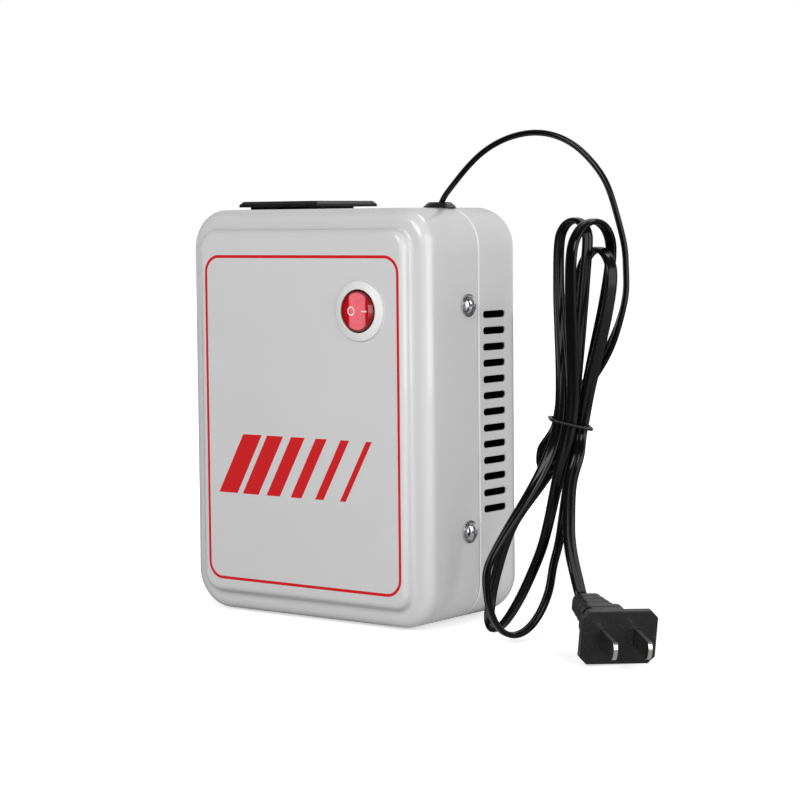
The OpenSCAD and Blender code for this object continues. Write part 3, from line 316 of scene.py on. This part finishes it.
def steps_between(points):
    """The distance from each row to the next."""
    return np.linalg.norm(np.diff(points, axis=0), axis=1)


def walked(points):
    """The distance along rows of points from the first one to each."""
    return np.concatenate([[0.0], np.cumsum(steps_between(points))])


def smooth_route(points, spacing):
    """A natural cubic spline through points, with the chord lengths as its parameter, in even steps.

    Gives the stepped points, their parameters and the parameter of each point that was given.
    """
    t = walked(points)
    h = np.diff(t)
    n = len(t)
    bend = np.eye(n)
    i = np.arange(1, n - 1)
    bend[i, i - 1] = h[:-1]
    bend[i, i] = 2 * (h[:-1] + h[1:])
    bend[i, i + 1] = h[1:]
    change = np.zeros_like(points)
    change[1:-1] = 6 * np.diff(np.diff(points, axis=0) / h[:, None], axis=0)
    m = np.linalg.solve(bend, change)

    def at(s):
        """The spline's cubic between the two points that a parameter lies between."""
        k = np.clip(np.searchsorted(t, s, side="right") - 1, 0, n - 2)
        gap = h[k][:, None]
        left = (t[k + 1] - s)[:, None]
        right = (s - t[k])[:, None]
        arch = (m[k] * left ** 3 + m[k + 1] * right ** 3) / (6 * gap)
        from_left = (points[k] / gap - m[k] * gap / 6) * left
        from_right = (points[k + 1] / gap - m[k + 1] * gap / 6) * right
        return arch + from_left + from_right

    fine = np.linspace(0.0, t[-1], ROUTE_STEPS)
    far = walked(at(fine))
    even = np.interp(np.linspace(0.0, far[-1], int(far[-1] / spacing) + 1), far, fine)
    return at(even), even, t


def unit_rows(v):
    """Rows scaled to length one."""
    return v / np.linalg.norm(v, axis=1)[:, None]


# Surfaces


def closed_tube(name, path, wide, thin, section):
    """A section carried along a path: point plus x times the wide side plus y times the thin side.

    The grid of rings is closed round the section, and a cap closes each end. Lengths come in millimetres.
    """
    rings = len(path)
    sides = len(section)
    grid = path[:, None] + section[None, :, :1] * wide[:, None] + section[None, :, 1:] * thin[:, None]
    first = np.arange(rings - 1)[:, None] * sides
    here = np.arange(sides)[None]
    after = (here + 1) % sides
    walls = np.stack([first + here, first + after, first + sides + after, first + sides + here], axis=-1)
    caps = [np.arange(sides)[::-1].tolist(), (np.arange(sides) + (rings - 1) * sides).tolist()]
    mesh = bpy.data.meshes.new(name)
    mesh.from_pydata((grid.reshape(-1, 3) * MM).tolist(), [], walls.reshape(-1, 4).tolist() + caps)
    mesh.shade_smooth()
    mesh.validate()
    piece = bpy.data.objects.new(name, mesh)
    bpy.context.scene.collection.objects.link(piece)
    return piece


def powered(wave):
    """A sine or cosine with its sign kept and its size to the power of two over the cord's power."""
    return np.sign(wave) * np.abs(wave) ** (2 / CORD_POWER)


def flat_twin_section():
    """A flattened oval, |x/a| to the power plus |y/b| to the power equal to one, with a groove on each flat.

    The groove is a bell curve of the distance from the middle, between the two conductors.
    """
    t = np.linspace(0, 2 * np.pi, CORD_SIDES, endpoint=False)
    x = CORD_WIDE / 2 * powered(np.cos(t))
    y = CORD_THICK / 2 * powered(np.sin(t))
    y = y - np.sign(y) * CORD_GROOVE * np.exp(-(x / GROOVE_WIDTH) ** 2)
    return np.column_stack([x, y])


def make_cord():
    """The flat twin cord in one piece, from the bush through the hank to the plug, with its path and length.

    Its lie is averaged over a few rings, and its wide side is kept square to the path.
    """
    points, lies = cord_points()
    path, even, t = smooth_route(points, CORD_SPACING)
    lie = np.radians(np.interp(even, t, lies))
    lie = np.pad(lie, LIE_WINDOW // 2, mode="edge")
    lie = np.convolve(lie, np.full(LIE_WINDOW, 1 / LIE_WINDOW), mode="valid")[:, None]
    ahead = unit_rows(np.gradient(path, axis=0))
    wide = np.cos(lie) * ACROSS + np.sin(lie) * TOWARD
    wide = unit_rows(wide - (wide * ahead).sum(axis=1)[:, None] * ahead)
    thin = np.cross(ahead, wide)
    cord = closed_tube("flat_cord", path, wide, thin, flat_twin_section())
    return cord, path * MM, walked(path)[-1] * MM


# Node materials


class Nodes:
    """A node tree with short ways to add the nodes that the finishes and the backdrop need."""

    def __init__(self, tree):
        self.tree = tree

    def add(self, kind, **settings):
        """A new node with its settings."""
        node = self.tree.nodes.new(kind)
        for key, value in settings.items():
            setattr(node, key, value)
        return node

    def feed(self, socket, value):
        """Links a node's output to a socket, or sets a constant on it."""
        if isinstance(value, bpy.types.NodeSocket):
            self.tree.links.new(value, socket)
        else:
            socket.default_value = value

    def calc(self, operation, *values):
        """The result of one sum or comparison."""
        node = self.add("ShaderNodeMath", operation=operation)
        for socket, value in zip(node.inputs, values):
            self.feed(socket, value)
        return node.outputs[0]

    def length(self, a, b):
        """The square root of a squared plus b squared."""
        squares = self.calc("ADD", self.calc("MULTIPLY", a, a), self.calc("MULTIPLY", b, b))
        return self.calc("SQRT", squares)

    def off(self, value, middle):
        """How far a value lies from a middle, on either side."""
        return self.calc("ABSOLUTE", self.calc("SUBTRACT", value, middle))

    def within(self, value, middle, half):
        """One where a value lies less than a half width from a middle."""
        return self.calc("LESS_THAN", self.off(value, middle), half)

    def between(self, value, low, high, to_low=0.0, to_high=1.0, ease="LINEAR"):
        """A value between low and high, carried over to between two others."""
        node = self.add("ShaderNodeMapRange", interpolation_type=ease)
        for socket, number in zip(node.inputs, (value, low, high, to_low, to_high)):
            self.feed(socket, number)
        return node.outputs[0]

    def facing(self, direction):
        """How far a ray runs in a direction, from minus one to one, in a world's nodes."""
        node = self.add("ShaderNodeVectorMath", operation="DOT_PRODUCT")
        self.feed(node.inputs[0], self.add("ShaderNodeTexCoord").outputs["Generated"])
        self.feed(node.inputs[1], direction)
        return node.outputs["Value"]

    def ray_kinds(self):
        """Two marks: one on camera rays, and one on rays that were mirrored or let through."""
        rays = self.add("ShaderNodeLightPath").outputs
        mirrored = self.calc("MAXIMUM", rays["Is Glossy Ray"], rays["Is Transmission Ray"])
        return rays["Is Camera Ray"], mirrored

    def blend(self, share, under, over):
        """One colour over another by a share."""
        node = self.add("ShaderNodeMix", data_type="RGBA")
        self.feed(node.inputs["Factor"], share)
        self.feed(node.inputs[MIX_UNDER], under)
        self.feed(node.inputs[MIX_OVER], over)
        return node.outputs[MIX_RESULT]


class Finish(Nodes):
    """A material whose nodes feed one shader."""

    def __init__(self, name):
        self.material = bpy.data.materials.new(name)
        self.material.use_nodes = True
        super().__init__(self.material.node_tree)
        self.shader = self.tree.nodes["Principled BSDF"]

    def place(self):
        """The place on the piece, in its own coordinates."""
        return self.add("ShaderNodeTexCoord").outputs["Object"]

    def axes(self):
        """The place's x, y and z."""
        parts = self.add("ShaderNodeSeparateXYZ")
        self.feed(parts.inputs[0], self.place())
        return parts.outputs

    def stretched(self, x, y, z):
        """The place with each axis scaled."""
        node = self.add("ShaderNodeMapping")
        self.feed(node.inputs["Vector"], self.place())
        self.feed(node.inputs["Scale"], (x, y, z))
        return node.outputs[0]

    def grain(self, scale, detail, where=None):
        """Noise from zero to one, with about as many spots to the metre as its scale."""
        node = self.add("ShaderNodeTexNoise")
        self.feed(node.inputs["Vector"], self.place() if where is None else where)
        self.feed(node.inputs["Scale"], scale)
        self.feed(node.inputs["Detail"], detail)
        return node.outputs["Fac"]

    def varied(self, grain, low, high):
        """A number that a grain moves between a low and a high one."""
        return self.between(grain, *GRAIN_RANGE, low, high)

    def rough_by(self, grain, rough):
        """A roughness that a grain moves a little to either side."""
        return self.varied(grain, rough - ROUGH_LESS, rough + ROUGH_MORE)

    def bump(self, height, distance, edge=0.0):
        """Bumps the surface by a height, and rounds off its edges over a radius where one is given."""
        node = self.add("ShaderNodeBump")
        self.feed(node.inputs["Height"], height)
        self.feed(node.inputs["Distance"], distance)
        if edge:
            rounded = self.add("ShaderNodeBevel", samples=BEVEL_SAMPLES)
            self.feed(rounded.inputs["Radius"], edge)
            self.feed(node.inputs["Normal"], rounded.outputs[0])
        self.feed(self.shader.inputs["Normal"], node.outputs[0])

    def surface(self, **values):
        """Feeds the shader's sockets, whose names have an underscore for each space here."""
        for key, value in values.items():
            self.feed(self.shader.inputs[key.replace("_", " ")], value)


def tone(red, green, blue):
    """A colour as it looks on a screen, 0 to 255, as the linear colour that a shader takes."""
    seen = np.array([red, green, blue]) / 255
    linear = np.where(seen <= 0.04045, seen / 12.92, ((seen + 0.055) / 1.055) ** 2.4)
    return (*linear.tolist(), 1.0)


def grey(level):
    """A grey as it looks on a screen, 0 to 255."""
    return tone(level, level, level)


def past_corners(f, x, z, middle, half, radius):
    """How far a place lies past the inner corner box of a rounded rectangle: the radius on its outline."""
    past_x = f.calc("SUBTRACT", f.off(x, middle[0]), half[0] - radius)
    past_z = f.calc("SUBTRACT", f.off(z, middle[1]), half[1] - radius)
    return f.length(f.calc("MAXIMUM", past_x, 0.0), f.calc("MAXIMUM", past_z, 0.0))


def frame_line(f, x, z):
    """One on a line that follows a rounded rectangle on the panel."""
    reach = past_corners(f, x, z, FRAME_MIDDLE, FRAME_HALF, FRAME_R)
    return f.within(reach, FRAME_R, FRAME_LINE_HALF)


def shaded_inside_rear(f, x, y, z):
    """One on the rear cover's inner faces behind its lip, which are given a painted shade.

    From the middle of the arc that rounds its rear edge, they lie closer than its radius less half a sheet.
    """
    reach = past_corners(f, x, z, CASE_MIDDLE, CASE_HALF, CORNER_R)
    outward = f.calc("MAXIMUM", f.calc("SUBTRACT", reach, CORNER_R - REAR_EDGE_R), 0.0)
    rearward = f.calc("MAXIMUM", f.calc("SUBTRACT", y, REAR_FACE - REAR_EDGE_R), 0.0)
    inner = f.calc("LESS_THAN", f.length(outward, rearward), REAR_EDGE_R - HALF_SHEET)
    return f.calc("MULTIPLY", inner, f.calc("GREATER_THAN", y, REAR_START + LIP_DEPTH))


def slanted_bars(f, x, z):
    """One on a row of slanted bars.

    The place along the row, in pitches, has a whole part that numbers the bar, and a rest that is on the bar
    while it is less than the bar's width, which falls from bar to bar.
    """
    rise = f.calc("SUBTRACT", z, BAR_MIDDLE)
    upright_x = f.calc("SUBTRACT", x, f.calc("MULTIPLY", rise, BAR_SLANT))
    row = f.calc("DIVIDE", f.calc("SUBTRACT", upright_x, BAR_START), BAR_PITCH)
    number = f.calc("FLOOR", row)
    width = f.calc("SUBTRACT", BAR_WIDTH, f.calc("MULTIPLY", number, BAR_NARROWER))
    on_bar = f.calc("LESS_THAN", f.calc("SUBTRACT", row, number), width)
    in_row = f.within(row, BAR_COUNT / 2, BAR_COUNT / 2)
    in_band = f.within(z, BAR_MIDDLE, BAR_HALF_HEIGHT)
    return f.calc("MULTIPLY", f.calc("MULTIPLY", on_bar, in_row), in_band)


def grey_enamel(name, printed):
    """Glossy grey enamel with a faint orange peel: red print on the front panel, or a painted seam highlight
    and painted shade inside.
    """
    f = Finish(name)
    x, y, z = f.axes()
    shade = f.blend(f.grain(scale=38, detail=3), tone(207, 207, 208), tone(211, 211, 212))
    if printed:
        ink = f.calc("MAXIMUM", frame_line(f, x, z), slanted_bars(f, x, z))
        ink = f.calc("MULTIPLY", ink, f.calc("LESS_THAN", y, PANEL_FACE + PRINT_DEPTH))
        red = f.blend(f.grain(scale=900, detail=2), tone(206, 6, 14), tone(214, 10, 20))
        shade = f.blend(ink, shade, red)
    else:
        # Painted highlight: a pale strip along the rear cover's front edge and the lip seen in the seam,
        # where light catches the rolled edge
        shade = f.blend(f.calc("LESS_THAN", y, REAR_START + SEAM_PAINTED_HIGHLIGHT), shade, grey(246))
        # Painted shade: the inner faces behind the lip are made near-black, so that the vents look dark
        shade = f.blend(shaded_inside_rear(f, x, y, z), shade, tone(30, 30, 31))
    f.surface(
        Base_Color=shade,
        Roughness=f.varied(f.grain(scale=160, detail=2), 0.42, 0.48),
        Specular_IOR_Level=0.3,
        Coat_Weight=0.9,
        Coat_Roughness=0.02)
    f.bump(f.grain(scale=420, detail=1), distance=0.012 * MM, edge=0.4 * MM if printed else 0.9 * MM)
    return f.material


def pale_plastic(name):
    """Pale grey moulded plastic with a fine matt grain."""
    f = Finish(name)
    f.surface(
        Base_Color=f.blend(f.grain(scale=220, detail=3), grey(222), tone(229, 229, 228)),
        Roughness=f.varied(f.grain(scale=700, detail=2), 0.34, 0.44))
    f.bump(f.grain(scale=2600, detail=1), distance=0.006 * MM, edge=0.3 * MM)
    return f.material


def red_rocker(name):
    """Clear red plastic with a painted highlight down its middle and a painted shadow round its rim, with a
    white ring and a white bar printed on its face.
    """
    f = Finish(name)
    x, y, z = f.axes()
    sideways = f.calc("SUBTRACT", x, SWITCH_AT[0])
    upward = f.calc("SUBTRACT", z, SWITCH_AT[2])
    # Painted highlight: a lighter band down the middle of the face, standing for the reflection on its
    # curved face
    painted_highlight = f.between(f.off(sideways, HIGHLIGHT_MIDDLE), *HIGHLIGHT_REACH, 1.0, 0.0)
    painted_highlight = f.calc("MULTIPLY", painted_highlight, f.varied(f.grain(scale=500, detail=3), 0.8, 1.0))
    red = f.blend(painted_highlight, tone(184, 2, 8), tone(254, 122, 133))
    # Painted shadow: the rim of the face is darkened next to the gap round the rocker
    red = f.blend(f.between(f.length(sideways, upward), *RIM_SHADOW_REACH), red, tone(112, 2, 7))
    ring = f.within(f.length(f.calc("SUBTRACT", sideways, RING_MIDDLE), upward), RING_R, MARK_HALF)
    bar = f.calc("MULTIPLY", f.within(sideways, ON_MIDDLE, ON_HALF), f.within(upward, 0.0, MARK_HALF))
    on_face = f.calc("LESS_THAN", y, SWITCH_AT[1] + MARK_DEPTH)
    mark = f.calc("MULTIPLY", f.calc("MAXIMUM", ring, bar), on_face)
    f.surface(
        Base_Color=f.blend(mark, red, tone(245, 240, 240)),
        Roughness=0.16,
        Coat_Weight=0.3,
        Coat_Roughness=0.06)
    return f.material


def black_plastic(name, low, high, rough):
    """Black moulded plastic with a fine grain and a few pale dust specks."""
    f = Finish(name)
    shade = f.blend(f.grain(scale=300, detail=3), grey(low), grey(high))
    dust = f.calc("MULTIPLY", f.between(f.grain(scale=1900, detail=0), *DUST_RANGE), DUST_SHARE)
    f.surface(
        Base_Color=f.blend(dust, shade, grey(DUST_TONE)),
        Roughness=f.rough_by(f.grain(scale=260, detail=3), rough),
        Specular_IOR_Level=0.36)
    f.bump(f.grain(scale=1800, detail=2), distance=0.012 * MM, edge=0.45 * MM)
    return f.material


def cord_vinyl(name):
    """Black satin vinyl that is a little shinier in patches along the cord."""
    f = Finish(name)
    f.surface(
        Base_Color=f.blend(f.grain(scale=900, detail=2), tone(6, 6, 7), tone(11, 11, 12)),
        Roughness=f.varied(f.grain(scale=60, detail=2), 0.14, 0.22),
        Specular_IOR_Level=0.24)
    f.bump(f.grain(scale=700, detail=2), distance=0.01 * MM)
    return f.material


def metal(name, low, high, rough, stripes=(600, 600, 600)):
    """Bare or plated metal whose colour and roughness vary with a grain that can be drawn out to stripes."""
    f = Finish(name)
    lines = f.grain(scale=1, detail=3, where=f.stretched(*stripes))
    f.surface(
        Base_Color=f.blend(lines, tone(*low), tone(*high)),
        Metallic=1.0,
        Roughness=f.rough_by(lines, rough))
    f.bump(lines, distance=0.004 * MM, edge=0.15 * MM)
    return f.material


def stacked_sheets(name):
    """Dark iron sheets on edge: stripes along the stack, with rust-brown blotches."""
    f = Finish(name)
    stripe = f.calc("FRACT", f.calc("DIVIDE", f.axes()[1], SHEET_PITCH))
    edge = f.calc("LESS_THAN", stripe, SHEET_EDGE)
    shade = f.blend(f.grain(scale=120, detail=3), tone(92, 92, 96), tone(122, 112, 104))
    f.surface(Base_Color=f.blend(edge, shade, tone(48, 47, 48)), Metallic=0.6, Roughness=0.55)
    f.bump(edge, distance=0.05 * MM)
    return f.material


def wound_copper(name):
    """Enamelled copper turns: round ridges up the winding, a sine of the height, with painted shade between
    the turns and painted highlight on their crests.
    """
    f = Finish(name)
    turn = f.calc("SINE", f.calc("MULTIPLY", f.axes()[2], 2 * math.pi / TURN_PITCH))
    # Painted shade and highlight: the colour darkens in the hollows between the turns and lightens on their
    # crests
    shade = f.blend(f.between(turn, -1, 1), tone(120, 58, 28), tone(190, 108, 62))
    f.surface(Base_Color=shade, Metallic=0.8, Roughness=0.32)
    f.bump(turn, distance=0.1 * MM)
    return f.material


def plain_coat(name, low, high, rough):
    """A plain coloured plastic, tape or rubber with a soft mottle."""
    f = Finish(name)
    f.surface(
        Base_Color=f.blend(f.grain(scale=240, detail=3), tone(*low), tone(*high)),
        Roughness=f.rough_by(f.grain(scale=420, detail=2), rough))
    f.bump(f.grain(scale=1200, detail=2), distance=0.01 * MM)
    return f.material


def floor_white(name):
    """A matt white floor that keeps the shadow near the box and turns pure white for the camera further out.

    Reflections see it grey, and brighter toward the right, where the large softbox stands.
    """
    f = Finish(name)
    x, y = f.axes()[:2]
    camera_ray, mirrored = f.ray_kinds()
    reach = f.length(x, y)
    lift = f.between(reach, *SHADOW_REACH, SHADOW_LIFT, 1.0, "SMOOTHSTEP")
    along = f.calc("ADD", f.calc("MULTIPLY", x, SHINE_WAY[0]), f.calc("MULTIPLY", y, SHINE_WAY[1]))
    rightward = f.calc("DIVIDE", along, f.calc("ADD", reach, REACH_LEAST))
    shine = f.between(rightward, *SHINE_EDGE, 0.0, SHINE_LEVEL, "SMOOTHSTEP")
    shine = f.calc("MULTIPLY", shine, f.between(reach, *SHINE_REACH, SHINE_NEAR, 1.0))
    f.surface(
        Base_Color=f.blend(mirrored, grey(FLOOR_TONE), grey(FLOOR_MIRRORED)),
        Roughness=0.9,
        Specular_IOR_Level=0.0,
        Emission_Color=WHITE,
        Emission_Strength=f.calc(
            "ADD", f.calc("MULTIPLY", camera_ray, lift), f.calc("MULTIPLY", mirrored, shine)))
    return f.material


def cover_with(material, *names):
    """Gives CAD nodes one material."""
    for name in names:
        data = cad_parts[name].data
        data.materials.clear()
        data.materials.append(material)


def finish_nodes():
    """Every node of the part gets its finish."""
    zinc = metal("bright_zinc", (196, 196, 198), (224, 224, 226), rough=0.12)
    steel = metal("plain_steel", (120, 121, 124), (150, 151, 154), rough=0.35)
    brass = metal("spring_brass", (176, 138, 66), (206, 170, 96), rough=0.3)
    nickel = metal("nickel_blade", (200, 199, 197), (216, 215, 213), rough=0.16, stripes=(90, 90, 90))
    nylon = plain_coat("natural_nylon", (214, 205, 182), (230, 222, 202), rough=0.4)
    cover_with(grey_enamel("grey_enamel_printed", True), "front_cover")
    cover_with(grey_enamel("grey_enamel", False), "rear_cover")
    cover_with(zinc, "case_screws", "screw_washers")
    cover_with(steel, "weld_nuts", "core_bolts", "core_spacers", "core_nuts")
    cover_with(steel, "socket_screw", "plunger_spring")
    cover_with(brass, "moving_contact", "switch_terminals", "socket_contacts")
    cover_with(nickel, "plug_blades")
    cover_with(pale_plastic("pale_bezel"), "switch_housing")
    cover_with(red_rocker("red_rocker"), "switch_rocker")
    cover_with(black_plastic("outlet_black", low=12, high=20, rough=0.38), "socket_faceplate", "socket_base")
    cover_with(black_plastic("plug_vinyl", low=20, high=29, rough=0.36), "plug_body")
    cover_with(plain_coat("bush_rubber", (12, 12, 12), (19, 19, 19), rough=0.4), "cord_bushing")
    cover_with(plain_coat("foot_rubber", (24, 24, 24), (34, 34, 34), rough=0.6), "rubber_feet")
    cover_with(plain_coat("tie_coat", (10, 10, 11), (16, 16, 17), rough=0.35), "cord_tie")
    cover_with(nylon, "bobbin", "rocker_plunger")
    cover_with(plain_coat("yellow_tape", (206, 176, 56), (222, 194, 78), rough=0.3), "winding_tape")
    cover_with(plain_coat("cutout_case", (38, 38, 40), (52, 52, 54), rough=0.45), "thermal_cutout")
    cover_with(plain_coat("wire_vinyl", (150, 30, 30), (170, 42, 38), rough=0.4), "lead_wires")
    cover_with(stacked_sheets("iron_sheets"), "core_e", "core_i")
    cover_with(wound_copper("copper_turns"), "primary_winding", "secondary_winding")
    cover_with(cord_vinyl("cord_vinyl_inside"), "cord_lead", "cord_hank", "cord_tail")


def lay_floor():
    """A plain square floor under everything."""
    corners = [(x * FLOOR_HALF, y * FLOOR_HALF, 0) for x, y in ((-1, -1), (1, -1), (1, 1), (-1, 1))]
    mesh = bpy.data.meshes.new("floor")
    mesh.from_pydata(corners, [], [(0, 1, 2, 3)])
    mesh.materials.append(floor_white("floor_white"))
    floor = bpy.data.objects.new("floor", mesh)
    bpy.context.scene.collection.objects.link(floor)


def softbox(name, at, size, watts):
    """A rectangular lamp at a place, turned to the object."""
    data = bpy.data.lights.new(name, "AREA")
    data.shape = "RECTANGLE"
    data.size, data.size_y = size
    data.energy = watts
    lamp = bpy.data.objects.new(name, data)
    turn = (Vector(LAMP_AIM) - Vector(at)).to_track_quat("-Z", "Y")
    lamp.matrix_world = Matrix.LocRotScale(Vector(at), turn, None)
    bpy.context.scene.collection.objects.link(lamp)


def light_studio():
    """A dim tent with softboxes, and a white backdrop that the camera and the reflections from behind see.

    In reflections the tent is darker at the left front. Everywhere it is darker overhead.
    """
    world = bpy.data.worlds.new("white_backdrop")
    bpy.context.scene.world = world
    world.use_nodes = True
    n = Nodes(world.node_tree)
    camera_ray, mirrored = n.ray_kinds()
    behind_way = (-math.sin(CAMERA_YAW), math.cos(CAMERA_YAW), 0.0)
    dark_way = (-math.sin(CAMERA_YAW), -math.cos(CAMERA_YAW), 0.0)
    behind = n.between(n.facing(behind_way), *BACKDROP_EDGE, 0.0, BACKDROP_SHARE, "SMOOTHSTEP")
    shut_off = n.between(n.facing(dark_way), *DARK_EDGE, 0.0, TENT_LEVEL - TENT_DARK, "SMOOTHSTEP")
    level = n.calc("SUBTRACT", TENT_LEVEL, n.calc("MULTIPLY", mirrored, shut_off))
    overhead = n.between(n.facing((0.0, 0.0, 1.0)), *OVERHEAD_EDGE, 1.0, TENT_OVERHEAD)
    tent = n.tree.nodes["Background"]
    n.feed(tent.inputs["Color"], WHITE)
    n.feed(tent.inputs["Strength"], n.calc("MULTIPLY", level, overhead))
    backdrop = n.add("ShaderNodeBackground")
    n.feed(backdrop.inputs["Color"], WHITE)
    n.feed(backdrop.inputs["Strength"], 1.0)
    seen = n.calc("MAXIMUM", camera_ray, n.calc("MULTIPLY", mirrored, behind))
    pick = n.add("ShaderNodeMixShader")
    for socket, value in zip(pick.inputs, (seen, tent.outputs[0], backdrop.outputs[0])):
        n.feed(socket, value)
    n.feed(n.tree.nodes["World Output"].inputs["Surface"], pick.outputs[0])
    for name, (at, size, watts) in SOFTBOXES.items():
        softbox(name, at, size, watts)


place_camera()
flat_cord, cord_path, cord_length = make_cord()
flat_cord.data.materials.append(cord_vinyl("cord_vinyl"))
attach(flat_cord, "case")
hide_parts("cord_lead", "cord_hank", "cord_tail")
finish_nodes()
lay_floor()
light_studio()
bpy.context.scene.view_settings.view_transform = "Standard"
